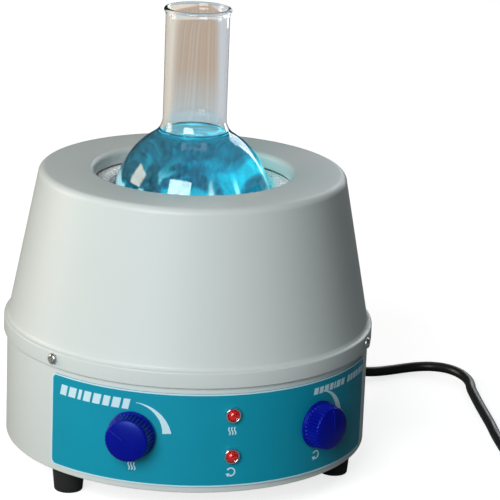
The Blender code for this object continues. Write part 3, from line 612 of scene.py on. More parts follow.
def liquid_material():
    """Clear blue solution that absorbs red. A painted glow stands in for light caught in it:
    emission in pale patches, mostly low in the bulb, and on the level surface. Painted dark patches
    of shade lie between them."""
    pale_tint = (0.86, 0.97, 1.0)
    material, tree, shader = surface(
        "blue_solution", pale_tint, 0.0, Transmission_Weight=1.0, IOR=1.333
    )
    place = node(tree, "TexCoord").outputs
    height, facing = (
        node(tree, "SeparateXYZ", {"Vector": place[kind]}).outputs["Z"]
        for kind in ("Object", "Normal")
    )
    swirl = noise(tree, 42.0, 2.5, (1.0, 1.0, 0.7), 0.55, 1.4)
    # Painted glow: emission patches, strongest low in the bulb, stand in for light caught in the
    # liquid.
    low = spread(tree, height, 0.72, 0.05, TOP_Z - 4.0 * MM, LIQUID_Z - 6.0 * MM)
    painted_glow_patch = combine(tree, "MULTIPLY", spread(tree, swirl, 0.0, 1.0, 0.52, 0.60), low)
    # Painted highlight: the level surface glows where it faces up.
    level = spread(tree, facing, 0.0, 0.36, 0.96, 0.999)
    painted_glow = combine(tree, "MAXIMUM", painted_glow_patch, level)
    white = spread(tree, painted_glow, 0.0, 1.0, 0.35, 0.72)
    feed(shader, "Emission Color", blend(tree, white, (0.0, 0.50, 0.64), (0.60, 1.0, 1.0)))
    feed(shader, "Emission Strength", painted_glow)
    # Painted shade: darker green patches in the base colour, between the glowing ones.
    painted_dark_patch = spread(tree, swirl, 1.0, 0.0, 0.36, 0.44)
    feed(shader, "Base Color", blend(tree, painted_dark_patch, pale_tint, (0.22, 0.62, 0.58)))
    output = let_lamps_through(tree, shader, (0.80, 0.97, 1.0))
    dye = node(tree, "VolumeAbsorption", {"Color": (0.0, 0.925, 0.96, 1.0), "Density": 110.0})
    feed(output, "Volume", dye.outputs[0])
    return material


def make_materials():
    """One material for each finish, by the record's slot names, and the label's ink."""
    steel_marks = (1.0, 1.0, 0.1)
    return {
        "housing": powder_coat("powder_coat", (0.655, 0.70, 0.69)),
        "label": label_film("label_film", (0.003, 0.29, 0.42)),
        "ink": label_film("label_ink", (0.60, 0.82, 0.90)),
        "steel": metal("plated_steel", (0.62, 0.62, 0.61), 0.22, 0.38, steel_marks),
        "rubber": satin("foot_rubber", (0.012, 0.012, 0.012), 0.5, 0.7, 900.0, 0.03),
        "glass_fibre_knit": knit_cloth("glass_fibre_knit", (0.93, 0.94, 0.93)),
        "sleeving": braided("sleeving", (0.75, 0.74, 0.70)),
        "glass_wool": wool("glass_wool", (0.88, 0.83, 0.62)),
        "aluminium": metal("spun_aluminium", (0.80, 0.81, 0.82), 0.28, 0.45, (1.0, 1.0, 6.0)),
        "brass": metal("brass", (0.72, 0.54, 0.24), 0.22, 0.36),
        "circuit_board": circuit_board("circuit_board", (0.02, 0.20, 0.08)),
        "terminal_plastic": satin("terminal_plastic", (0.02, 0.25, 0.10), 0.35, 0.5),
        "chrome": metal("chrome", (0.86, 0.87, 0.88), 0.05, 0.12, depth=0.003),
        "lamp_lens": lamp_glass("lamp_lens", (0.55, 0.006, 0.006)),
        "black_plastic": satin("black_plastic", (0.02, 0.02, 0.02), 0.35, 0.5),
        "cord_jacket": satin("cord_jacket", (0.010, 0.010, 0.010), 0.30, 0.42, 700.0),
        "knob_plastic": satin(
            "knob_plastic", (0.0005, 0.003, 0.26), 0.34, 0.44, 1800.0, 0.01,
            Specular_IOR_Level=0.50, Specular_Tint=(0.25, 0.40, 1.0, 1.0),
        ),
        "magnet": metal("magnet_nickel", (0.42, 0.41, 0.40), 0.18, 0.3),
        "glass": flask_glass_material(),
        "blue_liquid": liquid_material(),
        "ptfe": satin("ptfe", (0.88, 0.88, 0.86), 0.35, 0.5),
    }


LOOKS = make_materials()


def settle(piece, body, slot, *nodes, look=None):
    """The piece rides on a body, takes a slot's finish and stands for CAD nodes."""
    piece.data.materials.append(LOOKS[look or slot])
    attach(piece, body)
    if nodes:
        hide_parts(*nodes)
    return piece


# Housing


def make_shell():
    """The spun cone: turned-in lip, flat top, straight side and the flange band."""
    lip = OPENING_RADIUS
    roll, edge = 3.0 * MM, 4.0 * MM
    edge_x = CONE_TOP_RADIUS - edge
    band_top = SEAM_Z + 8.6 * MM
    under = TOP_Z - LIP_DEPTH
    profile = [(lip + 0.5 * MM, under), (lip, under + 0.5 * MM)]
    profile += arc(lip + roll, TOP_Z - roll, roll, 180, 90, 10)
    profile += arc(edge_x, TOP_Z - edge, edge, 90, 0, 10)
    profile += rounded([
        (CONE_BASE_RADIUS - 1.0 * MM, band_top + 7.0 * MM, 0.0),
        (CONE_BASE_RADIUS, band_top + 1.4 * MM, 2.2 * MM),
        (CONE_BASE_RADIUS + 1.0 * MM, band_top + 0.1 * MM, 1.4 * MM),
        (FLANGE_RADIUS, band_top - 0.3 * MM, 1.2 * MM),
        (FLANGE_RADIUS, SEAM_Z, 0.35 * MM),
        (FLANGE_RADIUS - WALL, SEAM_Z, 0.35 * MM),
        (FLANGE_RADIUS - WALL, band_top - 0.9 * MM, 1.0 * MM),
        (CONE_BASE_RADIUS - WALL, band_top - 0.4 * MM, 1.0 * MM),
        (CONE_BASE_RADIUS - WALL - 1.0 * MM, band_top + 6.0 * MM, 0.0),
    ])
    profile += arc(edge_x, TOP_Z - edge, edge - WALL, 0, 90, 5)
    profile += arc(lip + roll, TOP_Z - roll, roll - WALL, 90, 180, 5)
    profile += [(lip + WALL, under + 0.5 * MM), (lip + WALL - 0.5 * MM, under)]
    shell = lathe("shell_cover", profile, steps=256, ring=True)
    settle(shell, "mantle", "housing", "upper_shell")


def make_drum():
    """The straight drum with a rounded bottom edge and an inward ledge."""
    inside = DRUM_RADIUS - WALL
    low, top = DRUM_LOW.z, DRUM_HIGH.z
    ledge = 92.0 * MM
    corners = [
        (inside, top, 0.0), (DRUM_RADIUS, top, 0.4 * MM), (DRUM_RADIUS, low, 1.6 * MM),
        (inside, low, 0.4 * MM), (inside, low + 2.8 * MM, 0.3 * MM),
        (ledge, low + 2.8 * MM, 0.3 * MM), (ledge, low + 4.3 * MM, 0.3 * MM),
        (inside, low + 4.3 * MM, 0.0),
    ]
    drum = lathe("drum_wall", rounded(corners), steps=256, ring=True)
    settle(drum, "mantle", "housing", "lower_drum")


def make_feet():
    """Tapered rubber feet with a softened rim and a recess for the screw."""
    for place in FOOT_NAMES:
        centre = middle(f"foot_{place}")
        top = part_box(f"foot_{place}")[1].z / MM
        profile = section(0.0, [
            (2.3, top, 0.0), (9.0, top, 0.5), (7.6, 0.0, 1.0), (4.2, 0.0, 0.5), (4.2, 7.0, 0.3),
            (2.3, 7.0, 0.0),
        ])
        foot = lathe(f"rubber_foot_{place}", profile, 72, ring=True)
        foot.location = (centre.x, centre.y, 0.0)
        settle(foot, "mantle", "rubber", f"foot_{place}")


def cross_recess(x, y):
    """How far a Phillips recess sinks below the head at a point."""
    half_wide, reach, deep = 0.5 * MM, 1.8 * MM, 1.1 * MM
    narrow, far = sorted((abs(x), abs(y)))
    across = min(1.0, max(0.0, (half_wide - narrow) / (0.15 * MM)))
    along = min(1.0, max(0.0, (reach - far) / (0.5 * MM)))
    return deep * across * along


def make_screw(name):
    """A pan head with a cross recess on a plain shank."""
    under = FLANGE_RADIUS + 0.3 * MM
    rings, steps = 22, 96
    points = []
    for i in range(rings + 1):
        share = i / rings
        crown = under + 2.0 * MM - 0.5 * MM * share**2 - 0.9 * MM * share**8
        for x, y, z in circle(SCREW_HEAD_RADIUS * share, crown, steps):
            points.append((x, y, z - cross_recess(x, y)))
    below = ((3.0, 0.3), (2.9, 0.0), (1.5, -0.05), (1.5, -6.8), (0.0, -7.0))
    for reach, z in below:
        points += circle(reach * MM, under + z * MM, steps)
    faces = grid_faces(rings + 1 + len(below), steps)
    return new_piece(name, mesh_from(name, points, faces, 30.0))


def make_screws():
    for place, azimuth in SCREW_AZIMUTHS.items():
        screw = make_screw(f"pan_screw_{place}")
        face_outward(screw, azimuth, middle(f"housing_screw_{place}").z)
        settle(screw, "mantle", "steel", f"housing_screw_{place}")


# Front label. Its drawing is made of thin bands, placed by u, the distance around the drum
# from the front, and z.


def on_label(u, z, lift):
    angle = u / LABEL_RADIUS
    reach = LABEL_RADIUS + lift
    return (reach * math.sin(angle), -reach * math.cos(angle), z)


def band(points, faces, side_a, side_b, closed=False):
    """Add a thin solid band between two equally long rows of (u, z) points."""
    start, count = len(points), len(side_a)
    proud, sunk = 0.06 * MM, -0.02 * MM
    for side, lift in ((side_a, proud), (side_b, proud), (side_b, sunk), (side_a, sunk)):
        points += [on_label(u, z, lift) for u, z in side]
    quads = grid_faces(4, count, wrap_rows=True, wrap_columns=closed)
    if not closed:
        quads += [tuple(range(end, 4 * count, count)) for end in (0, count - 1)]
    faces += [tuple(start + k for k in quad) for quad in quads]


def stroke(line, width):
    """The two sides of a stroke of constant width along a line of (u, z) points."""
    side_a, side_b = [], []
    for i, (u, z) in enumerate(line):
        before, after = line[max(i - 1, 0)], line[min(i + 1, len(line) - 1)]
        along = Vector((after[0] - before[0], after[1] - before[1])).normalized()
        across = Vector((-along.y, along.x)) * width / 2
        side_a.append((u + across.x, z + across.y))
        side_b.append((u - across.x, z - across.y))
    return side_a, side_b


def rounded_outline(inset, steps=8):
    """The label's outline moved inward, as (u, z) points with short straight steps."""
    half = math.radians(LABEL_HALF_ANGLE) * LABEL_RADIUS - inset
    low, high = LABEL_LOW.z + inset, LABEL_HIGH.z - inset
    corner = LABEL_CORNER - inset * 0.5
    side_steps, end_steps = 120, 24
    outline = []
    corners = (
        (half - corner, high - corner, 0), (corner - half, high - corner, 90),
        (corner - half, low + corner, 180), (half - corner, low + corner, 270),
    )
    for k, (u, z, start) in enumerate(corners):
        outline += arc(u, z, corner, start, start + 90, steps)
        u_next, z_next, start_next = corners[(k + 1) % 4]
        last = outline[-1]
        angle = math.radians(start_next)
        goal = (u_next + corner * math.cos(angle), z_next + corner * math.sin(angle))
        count = side_steps if k % 2 == 0 else end_steps
        for i in range(1, count):
            t = i / count
            outline.append((last[0] + (goal[0] - last[0]) * t, last[1] + (goal[1] - last[1]) * t))
    return outline


def make_label():
    """The film bent around the drum, with rounded corners."""
    half = math.radians(LABEL_HALF_ANGLE) * LABEL_RADIUS
    corner_steps, straight_steps, rows = 12, 200, 8
    stations = []
    for i in range(corner_steps + 1):
        share = 1 - math.cos(math.pi / 2 * i / corner_steps)
        stations.append(-half + LABEL_CORNER * share)
    inner = half - LABEL_CORNER
    stations += [inner * (2 * i / straight_steps - 1) for i in range(1, straight_steps)]
    stations += [-u for u in reversed(stations[:corner_steps + 1])]
    sections = []
    for u in stations:
        into = min(LABEL_CORNER, half - abs(u))
        dip = LABEL_CORNER - math.sqrt(max(0.0, into * (2 * LABEL_CORNER - into)))
        low, high = LABEL_LOW.z + dip, LABEL_HIGH.z - dip
        heights = [low + (high - low) * j / rows for j in range(rows + 1)]
        front = [on_label(u, z, 0.0) for z in heights]
        back = [on_label(u, z, -LABEL_THICKNESS) for z in reversed(heights)]
        sections.append(front + back)
    settle(loft("label_sheet", sections), "mantle", "label", "front_label")


def dial_arc(centre_u):
    """The tapered arc that grows clockwise around a knob."""
    count = 28
    outer, inner = [], []
    for i in range(count + 1):
        t = i / count
        angle = math.radians(85.0 - 79.0 * t)
        wide = (0.25 + 4.4 * t**1.35) * MM
        middle_reach = (17.6 + 0.7 * t) * MM
        for side, reach in ((outer, middle_reach + wide / 2), (inner, middle_reach - wide / 2)):
            side.append((centre_u + reach * math.cos(angle), CONTROL_Z + reach * math.sin(angle)))
    return outer, inner


def bars(start_u, end_u, low, high, widths, gap, slant):
    """A row of plain slanted bars that stands where the original has a word."""
    scale = (end_u - start_u) / (sum(widths) + gap * (len(widths) - 1))
    lean = slant * (high - low)
    row, u = [], start_u
    for width in widths:
        bottom = [(u + width * scale * share, low) for share in (0.0, 0.5, 1.0)]
        row.append(([(x + lean, high) for x, _ in bottom], bottom))
        u += (width + gap) * scale
    return row


def waves(u, z, size):
    """Three rising wavy strokes, the usual sign for heat."""
    steps = 12
    strokes = []
    for k in (-1, 0, 1):
        line = []
        for i in range(steps + 1):
            t = i / steps
            sway = math.sin(math.tau * t) * size * 0.10
            line.append((u + k * size * 0.36 + sway, z - size / 2 + size * t))
        strokes.append(stroke(line, size * 0.15))
    return strokes


def turning_arrow(u, z, size):
    """An open circle with an arrow head, the usual sign for stirring."""
    ring, head, end_angle = size * 0.42, size * 0.30, -120.0
    tip = math.radians(end_angle)
    end = Vector((u + ring * math.cos(tip), z + ring * math.sin(tip)))
    ahead = Vector((math.sin(tip), -math.cos(tip)))
    aside = Vector((math.cos(tip), math.sin(tip)))
    peak = end + ahead * head * 1.3
    outer = [tuple(end + aside * head * 0.8), tuple(peak + aside * 1e-5)]
    inner = [tuple(end - aside * head * 0.8), tuple(peak)]
    return [stroke(arc(u, z, ring, 150, end_angle, 26), size * 0.15), (outer, inner)]


def make_label_print():
    """The pale border, the dial arcs, the signs and the plain bars in place of words."""
    degree = math.radians(1.0) * LABEL_RADIUS
    knob_u = CONTROL_AZIMUTH * degree
    low = DRUM_LOW.z
    long_row = (4.2, 4.6, 2.0, 4.2, 4.4, 3.8, 4.4, 3.6)
    short_row = (3.4, 3.0, 3.6, 3.0, 1.2, 3.6, 3.4)
    marks = [dial_arc(-knob_u), dial_arc(knob_u)]
    marks += bars(
        -55.5 * degree, -31.5 * degree, low + 44.0 * MM, low + 49.6 * MM, long_row, 1.5, 0.22
    )
    for start, end in ((28.0, 43.0), (45.0, 57.5)):
        marks += bars(
            start * degree, end * degree, low + 47.0 * MM, low + 50.6 * MM, short_row, 1.2, 0.18
        )
    marks += waves(0.0, low + 34.2 * MM, 4.2 * MM)
    marks += waves(-knob_u, low + 13.0 * MM, 4.2 * MM)
    marks += turning_arrow(0.0, low + 11.6 * MM, 5.0 * MM)
    marks += turning_arrow(knob_u, low + 13.0 * MM, 5.0 * MM)
    points, faces = [], []
    band(points, faces, rounded_outline(0.0), rounded_outline(0.8 * MM), closed=True)
    for sides in marks:
        band(points, faces, *sides)
    mesh = mesh_from("label_print", points, faces)
    settle(new_piece("label_print", mesh), "mantle", "label", look="ink")


# Knobs and lamps


def knob_flute(radius, z, angle):
    """The radius of the fluted side: grooves that end above the skirt and at the shoulder."""
    if radius < 10.4 * MM:
        return radius
    start, full = KNOB_BACK + 1.8 * MM, KNOB_BACK + 2.6 * MM
    fade, end = KNOB_SHOULDER - 0.5 * MM, KNOB_SHOULDER + 0.9 * MM
    rise = min(1.0, max(0.0, (z - start) / (full - start)))
    fall = min(1.0, max(0.0, (end - z) / (end - fade)))
    groove = (0.5 + 0.5 * math.cos(FLUTES * angle)) ** 1.3
    return radius - 0.85 * MM * groove * rise * fall


def dome_height(share):
    """Height of the knob's domed face at a share of its shoulder's radius."""
    return KNOB_SHOULDER + (KNOB_FACE - KNOB_SHOULDER) * math.sqrt(1.0 - 0.94 * share**2)


def make_pointer(name, clock, shoulder):
    """The raised line over the knob's dome, from near its middle to its edge."""
    steps, ridge_steps = 28, 12
    half_wide, proud, sunk = 0.45 * MM, 0.42 * MM, 0.3 * MM
    sections = []
    for i in range(steps + 1):
        t = i / steps
        share = 0.06 + 0.86 * t
        dome = dome_height(share)
        taper = min(1.0, 10 * t + 0.2, 8 * (1 - t) + 0.2)
        outline = []
        for k in range(ridge_steps + 1):
            angle = math.pi * k / ridge_steps
            height = dome - sunk + (sunk + proud * taper) * math.sin(angle) ** 0.6
            outline.append((half_wide * math.cos(angle), shoulder * share, height))
        sections.append(outline)
    ridge = loft(f"{name}_ridge", sections)
    ridge.data.transform(Matrix.Rotation(math.radians(clock), 4, "Z"))
    return ridge


def make_knob(name, azimuth, clock):
    """A fluted knob with a thin skirt, a soft shoulder and a domed face."""
    back = KNOB_BACK
    skirt, shoulder = KNOB_RADIUS - 0.6 * MM, KNOB_RADIUS - 1.1 * MM
    rim, grip = KNOB_RADIUS / MM, skirt / MM
    profile = section(back, [
        (0.0, 8.7, 0.0), (3.2, 8.7, 0.0), (3.2, 3.7, 0.2), (8.2, 3.7, 0.2), (8.2, 0.0, 0.3),
        (rim, 0.0, 0.3), (rim, 1.3, 0.5), (grip + 0.05, 1.75, 0.3), (grip, 2.0, 0.0),
    ])[:-1]
    top = KNOB_SHOULDER - 0.6 * MM
    foot = back + 2.0 * MM
    side_steps = 14
    for k in range(side_steps + 1):
        t = k / side_steps
        profile.append((skirt + (shoulder - skirt) * t, foot + (top - foot) * t))
    edge = 0.94
    profile += rounded([
        (shoulder, top, 0.0), (shoulder - 0.05 * MM, KNOB_SHOULDER + 0.35 * MM, 0.9 * MM),
        (shoulder * edge, dome_height(edge), 0.0),
    ], 7)[1:]
    dome_steps = 18
    for k in range(1, dome_steps + 1):
        share = edge * (1 - k / dome_steps)
        profile.append((shoulder * share, dome_height(share)))
    knob = lathe(f"{name}_dial", profile, FLUTES * 10, shape=knob_flute, sharp=50.0)
    join(knob, make_pointer(name, clock, shoulder))
    face_outward(knob, azimuth, CONTROL_Z)
    settle(knob, f"{name}_knob", "knob_plastic", f"{name}_knob")


def make_lamp(name):
    """A chrome bezel with a rolled rim, and a domed lens with ribs moulded around it."""
    height = middle(f"{name}_lamp_bezel").z
    face = DRUM_RADIUS + 1.1 * MM
    seat, rim = face - 1.0 * MM, face + 1.8 * MM
    root = 84.0 - face / MM
    profile = section(face, [
        (0.0, -1.0, 0.0), (2.75, -1.0, 0.2), (2.9, 1.3, 0.3), (3.4, 1.8, 0.35), (4.0, 1.8, 0.4),
        (4.3, 0.9, 0.4), (4.3, 0.0, 0.15), (3.2, 0.0, 0.0), (3.2, root, 0.4), (0.0, root, 0.0),
    ])
    bezel = lathe(f"{name}_bezel_ring", profile, 80)
    face_outward(bezel, 0.0, height)
    settle(bezel, "mantle", "chrome", f"{name}_lamp_bezel")

    def ribs(radius, z, angle):
        if z < rim - 0.3 * MM:
            return radius
        return radius * (1.0 + 0.018 * math.cos(16 * angle))

    lens_radius, lens_base, lens_height = 2.6 * MM, rim - 0.4 * MM, 2.0 * MM
    profile = [(0.0, seat + 0.3 * MM), (2.55 * MM, seat + 0.3 * MM), (lens_radius, lens_base)]
    dome_steps = 12
    for k in range(1, dome_steps):
        angle = math.pi / 2 * k / dome_steps
        profile.append((lens_radius * math.cos(angle), lens_base + lens_height * math.sin(angle)))
    profile.append((0.0, lens_base + lens_height))
    lens = lathe(f"{name}_lens_dome", profile, 96, shape=ribs)
    face_outward(lens, 0.0, height)
    settle(lens, "mantle", "lamp_lens", f"{name}_lamp_lens")


# Heating well


def knit_height(u, v):
    """Height of a knitted surface at stitch coordinates, from 0 to 1: two leaning strands to
    each stitch, and each row's loops tucked under the next row's."""
    u, v = u % 1.0, v % 1.0
    lean = 0.20 * (v - 0.5)
    best = 0.0
    for centre in (0.27 + lean, 0.73 - lean):
        off = abs(u - centre) / 0.25
        if off < 1.0:
            best = max(best, math.sqrt(1.0 - off * off))
    tuck = 0.55 + 0.45 * math.sin(math.pi * v)
    return best * tuck


def well_profile():
    """The cup's inner line from its bottom up and over its rolled rim, evenly spaced."""
    coarse = arc(0, BULB_Z, 43.35 * MM, -90, 3, 60)
    coarse += section(BULB_Z, [
        (43.6, 4.0, 0.0), (45.2, 8.4, 2.5), (50.0, 8.7, 2.5), (54.6, 8.4, 0.5), (54.6, 7.0, 0.5),
        (52.2, 6.8, 0.5), (52.2, 1.0, 0.0),
    ])
    line = [Vector(p) for p in coarse]
    lengths = [0.0]
    for a, b in zip(line, line[1:]):
        lengths.append(lengths[-1] + (b - a).length)
    rows = 200
    spaced, k = [], 0
    for i in range(rows + 1):
        walked = lengths[-1] * i / rows
        while k < len(line) - 2 and lengths[k + 1] < walked:
            k += 1
        t = (walked - lengths[k]) / max(1e-9, lengths[k + 1] - lengths[k])
        spaced.append(line[k].lerp(line[k + 1], min(1.0, t)))
    return spaced, lengths[-1]


def make_heating_bed():
    """The knitted cup: real stitch relief over its inside and its rim, plain underneath."""
    line, length = well_profile()
    wales, row_pitch = 74, 2.9 * MM
    steps = wales * 9
    deep = 0.95 * MM
    points = []
    for i, p in enumerate(line):
        before, after = line[max(i - 1, 0)], line[min(i + 1, len(line) - 1)]
        along = (after - before).normalized()
        out = Vector((along.y, -along.x))  # away from the flask, into the cloth
        v = length * i / (len(line) - 1) / row_pitch
        fade = min(1.0, p.x / (14.0 * MM))
        for j in range(steps):
            u = wales * j / steps
            wander = 0.10 * math.sin(7.0 * math.tau * j / steps + 3.0 * v)
            sink = deep * (1.0 - knit_height(u + wander, v)) * fade
            reach = max(0.0, p.x + out.x * sink)
            angle = math.tau * j / steps
            points.append((reach * math.cos(angle), reach * math.sin(angle), p.y + out.y * sink))
    under = arc(0, BULB_Z, 49.5 * MM, -2, -90, 16)
    under[-1] = (0.0, under[-1][1])
    for radius, z in under:
        points += circle(radius, z, steps)
    faces = grid_faces(len(line) + len(under), steps)
    mesh = mesh_from("knitted_cup", points, faces, 60.0)
    cup = new_piece("knitted_cup", mesh)
    settle(cup, "mantle", "glass_fibre_knit", "heating_bed")


def make_rim_yarns():
    """Two wavy yarns that bind the rolled rim, one leaning each way."""
    turns, per_wave = 58, 8
    count = turns * per_wave
    for k, lean in enumerate((1.0, -1.0)):
        points = []
        for i in range(count):
            phase = math.tau * i / per_wave
            angle = math.tau * i / count + lean * 0.006 * math.sin(2 * phase)
            reach = (48.4 + 1.9 * math.sin(phase + k * math.pi)) * MM
            height = BULB_Z + (8.55 - 0.55 * abs(math.sin(phase)) + 0.35 * math.cos(phase)) * MM
            points.append((reach * math.cos(angle), reach * math.sin(angle), height))
        yarn = tube(f"rim_yarn_{k + 1}", points, 0.42 * MM, 2, closed=True)
        settle(yarn, "mantle", "glass_fibre_knit")


# Flask


def flask_line(offset):
    """The flask's wall from the neck down to the bottom, moved inward by offset."""
    neck, bulb = NECK_RADIUS - offset, BULB_RADIUS - offset
    fillet = SHOULDER_FILLET + offset
    across = neck + fillet
    rise = math.sqrt((bulb + fillet) ** 2 - across**2)
    tangent = math.degrees(math.atan2(rise, across))
    line = arc(across, BULB_Z + rise, fillet, 180, 180 + tangent, 14)
    line += arc(0, BULB_Z, bulb, tangent, -90, 64)[1:]
    line[-1] = (0.0, line[-1][1])
    return line


def make_flask():
    """One continuous glass wall: bulb, flowing shoulder, neck and fire-polished bead."""
    bead = (RIM_RADIUS - NECK_RADIUS + GLASS) / 2
    bead_z = RIM_Z - bead
    inner = flask_line(GLASS)[::-1]
    outer = flask_line(0.0)
    start_z = inner[-1][1]
    neck_steps = 10
    profile = list(inner)
    for i in range(1, neck_steps + 1):
        z = start_z + (bead_z - 3.4 * MM - start_z) * i / neck_steps
        profile.append((NECK_RADIUS - GLASS, z))
    profile += arc(RIM_RADIUS - bead, bead_z, bead, 172, -22, 20)
    top_z = bead_z - 3.2 * MM
    profile.append((NECK_RADIUS + 0.15 * MM, bead_z - 1.7 * MM))
    start_z = outer[0][1]
    for i in range(neck_steps):
        profile.append((NECK_RADIUS, top_z + (start_z - top_z) * i / neck_steps))
    profile += outer
    flask = lathe("flask", profile, steps=192, sharp=80.0)
    settle(flask, "flask", "glass", "flask_glass")


def make_liquid():
    """The solution. Its side lies inside the glass wall, so no air shows between them, and
    its surface climbs a little where it meets the glass."""
    line = flask_line(GLASS * 0.6)
    climb = 1.0 * MM
    wet = [p for p in line if p[1] < LIQUID_Z + climb]
    edge = wet[0][0]
    surface_line = [(0.0, LIQUID_Z)]
    for i in range(1, 15):
        away = 5.0 * MM * (1 - i / 15)
        height = LIQUID_Z + climb * math.exp(-away / (1.3 * MM))
        surface_line.append((edge - GLASS * 0.4 - away, height))
    liquid = lathe("solution", surface_line + wet, steps=192, sharp=50.0)
    settle(liquid, "flask", "blue_liquid", "flask_liquid")


def make_stir_bar():
    """The coated bar with its pivot ring."""
    half, radius = 11.5 * MM, 3.0 * MM
    profile = arc(0, half - radius, radius, 90, 0, 10)
    profile += [(radius, 1.8 * MM), (radius + 0.15 * MM, 1.3 * MM), (radius + 0.45 * MM, 0.9 * MM)]
    profile += [(r, -z) for r, z in reversed(profile)]
    profile[0], profile[-1] = (0.0, half), (0.0, -half)
    bar = lathe("stirring_bar", profile, 48, sharp=60.0)
    bar.rotation_euler = (0.0, math.pi / 2, 0.0)
    bar.location = middle("stir_bar")
    settle(bar, "stir_bar", "ptfe", "stir_bar")


# Mains cord


def coil_points():
    """The turns: six strands share a round bundle, and each turn moves on by one place."""
    count = round(POINTS_PER_TURN * COIL_TURNS)
    points = []
    for i in range(count + 1):
        around = math.tau * COIL_TURNS * i / count
        place = math.radians(-60.0) - around / 6
        reach = COIL_RADIUS + STRAND_CIRCLE * math.cos(place)
        offset = Vector((-math.cos(around), -math.sin(around), 0.0)) * reach
        offset.z = STRAND_CIRCLE * math.sin(place)
        points.append(COIL_CENTRE + offset)
    return points


def through(knots, steps):
    """Points on the Catmull-Rom curve through the knots, steps to each span."""
    knots = [Vector(p) for p in knots]
    knots = [2 * knots[0] - knots[1], *knots, 2 * knots[-1] - knots[-2]]
    fine = []
    for a, b, c, d in zip(knots, knots[1:], knots[2:], knots[3:]):
        for i in range(steps):
            t = i / steps
            fine.append(
                (2 * b + (c - a) * t + (2 * a - 5 * b + 4 * c - d) * t**2
                 + (3 * b - a - 3 * c + d) * t**3) / 2
            )
    fine.append(knots[-2])
    return fine


def make_cord():
    """One jacketed lead from the strain relief through the coil to the plug."""
    line = through([*CORD_ROUTE, *coil_points(), *TAIL_ROUTE], 4)
    cord = tube("mains_lead", line, CORD_RADIUS, 6)
    settle(cord, "mantle", "cord_jacket", "mains_cord", "cord_coil", "cord_tail")
    length = sum((b - a).length for a, b in zip(line, line[1:]))
    return cord, line, length


def make_strain_relief():
    """A tapered boot with a collar, ring grooves and a mouth for the cord."""
    flange = DRUM_RADIUS + 0.3 * MM
    root, tip = 90.0 - flange / MM, (BOOT_TIP - flange) / MM
    corners = [
        (0.0, root, 0.0), (4.6, root, 0.3), (4.6, 0.0, 0.0), (7.4, 0.0, 0.3), (7.4, 2.6, 0.6),
        (6.1, 3.6, 0.5), (5.6, 6.0, 0.4),
    ]
    grooves, start = 5, 6.0
    pitch = (tip - 2.5 - start) / grooves
    for i in range(grooves):
        low = start + pitch * i
        reach = 5.4 - 1.2 * i / grooves
        corners += [
            (reach - 0.7, low + 0.15 * pitch, 0.15), (reach - 0.7, low + 0.40 * pitch, 0.15),
            (reach, low + 0.50 * pitch, 0.2), (reach - 0.1, low + 0.98 * pitch, 0.2),
        ]
    mouth = CORD_RADIUS / MM + 0.15
    corners += [
        (4.0, tip - 2.0, 0.3), (3.9, tip + 1.7, 0.4), (mouth, tip + 1.7, 0.1),
        (mouth, tip, 0.0), (0.0, tip, 0.0),
    ]
    boot = lathe("strain_relief_boot", section(flange, corners), 64)
    face_outward(boot, CORD_AZIMUTH, CORD_EXIT_Z)
    return settle(boot, "mantle", "rubber", "cord_strain_relief")


def make_tie():
    """A hook and loop strap around the coil's bundle."""
    inner, outer, half = 9.35, 10.3, 3.5
    profile = section(0.0, [
        (outer, half, 0.0), (outer, -half, 0.2), (inner, -half, 0.2), (inner, half, 0.2),
        (outer, half, 0.0),
    ])[:-1]
    strap = lathe("coil_strap", profile, 96, ring=True)
    strap.rotation_euler = (math.pi / 2, 0.0, 0.0)
    strap.location = COIL_CENTRE + Vector((-COIL_RADIUS, 0.0, 0.0))
    return settle(strap, "mantle", "black_plastic", "cord_tie")


def superellipse(centre, half_wide, half_high, power, y, count=48):
    """A ring of points in the XZ plane, between an ellipse and a rounded box."""
    ring = []
    for k in range(count):
        angle = math.tau * k / count
        c, s = math.cos(angle), math.sin(angle)
        x = half_wide * math.copysign(abs(c) ** (2 / power), c)
        z = half_high * math.copysign(abs(s) ** (2 / power), s)
        ring.append((centre.x + x, y, centre.z + z))
    return ring


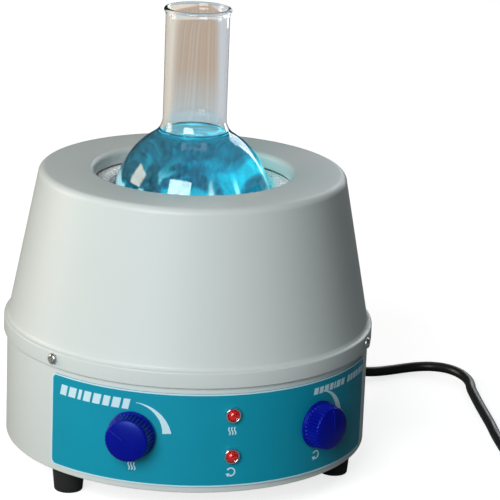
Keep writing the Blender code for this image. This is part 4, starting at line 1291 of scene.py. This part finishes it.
def make_plug():
    """The moulded plug: a ribbed neck that flows into a grip with a flat face."""
    low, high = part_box("plug_body")
    centre = middle("plug_body")
    start = low.y
    sections = [superellipse(centre, 4.0 * MM, 4.0 * MM, 2.0, start)]
    ribs = 4
    for i in range(ribs * 4 + 1):
        t = i / (ribs * 4)
        rib = 0.55 * MM * (0.5 - 0.5 * math.cos(math.tau * ribs * t))
        reach = (4.2 + 1.1 * t) * MM - rib
        sections.append(superellipse(centre, reach, reach, 2.0, start + (0.6 + 11.4 * t) * MM))
    for t, reach, power in (
        (13.5, 5.8, 2.1), (15.5, 7.6, 2.3), (18.0, 9.8, 2.6), (21.0, 11.4, 2.9),
        (24.0, 12.2, 3.1), (27.0, 12.5, 3.2), (29.0, 12.3, 3.2), (30.0, 12.0, 3.2),
        (31.0, 12.3, 3.2), (32.0, 12.0, 3.2), (33.0, 12.3, 3.2), (34.0, 12.0, 3.2),
        (35.0, 12.4, 3.2), (37.0, 12.8, 3.2), (38.6, 12.8, 3.2), (39.5, 12.4, 3.2),
        (39.9, 11.6, 3.2),
    ):
        sections.append(superellipse(centre, reach * MM, reach * MM, power, start + t * MM))
    sections.append(superellipse(centre, 11.0 * MM, 11.0 * MM, 3.2, min(high.y, start + 40.0 * MM)))
    plug = loft("plug_grip", sections, sharp=45.0)
    return settle(plug, "mantle", "cord_jacket", "plug_body")


# CAD nodes that stay, with the slot of each


CARRIED = {
    "steel": (
        "base_plate", "foot_screw_front_left", "foot_screw_front_right", "foot_screw_rear",
        "motor_body", "motor_plate", "heat_pot", "stir_pot", "motor_shaft",
    ),
    "aluminium": ("inner_bowl", "triac_heat_sink", "magnet_holder"),
    "glass_wool": ("insulation_cup",),
    "sleeving": ("heating_element",),
    "brass": (
        "motor_standoff_1", "motor_standoff_2", "motor_standoff_3", "board_spacer_left",
        "board_spacer_right", "heat_knob_shaft", "stir_knob_shaft", "plug_blade_left",
        "plug_blade_right", "plug_ground_pin",
    ),
    "circuit_board": ("control_board",),
    "terminal_plastic": ("terminal_block",),
    "chrome": ("heat_pot_nut", "stir_pot_nut"),
    "black_plastic": ("strain_relief_nut",),
    "magnet": ("drive_magnet_north", "drive_magnet_south"),
}


def dress_carried_nodes():
    """Give every CAD node that stays its finish."""
    for slot, names in CARRIED.items():
        for name in names:
            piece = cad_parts[name]
            piece.data.materials.clear()
            piece.data.materials.append(LOOKS[slot])


def main():
    bpy.context.scene.view_settings.view_transform = "Standard"
    make_camera()
    cord, line, length = make_cord()
    relief = make_strain_relief()
    strap = make_tie()
    plug = make_plug()
    make_lights()
    make_world()
    make_floor()
    make_shell()
    make_drum()
    make_feet()
    make_screws()
    make_label()
    make_label_print()
    make_knob("heat", -CONTROL_AZIMUTH, 60.0)
    make_knob("stir", CONTROL_AZIMUTH, 0.0)
    for name in LAMP_NAMES:
        make_lamp(name)
    make_heating_bed()
    make_rim_yarns()
    make_flask()
    make_liquid()
    make_stir_bar()
    dress_carried_nodes()


main()
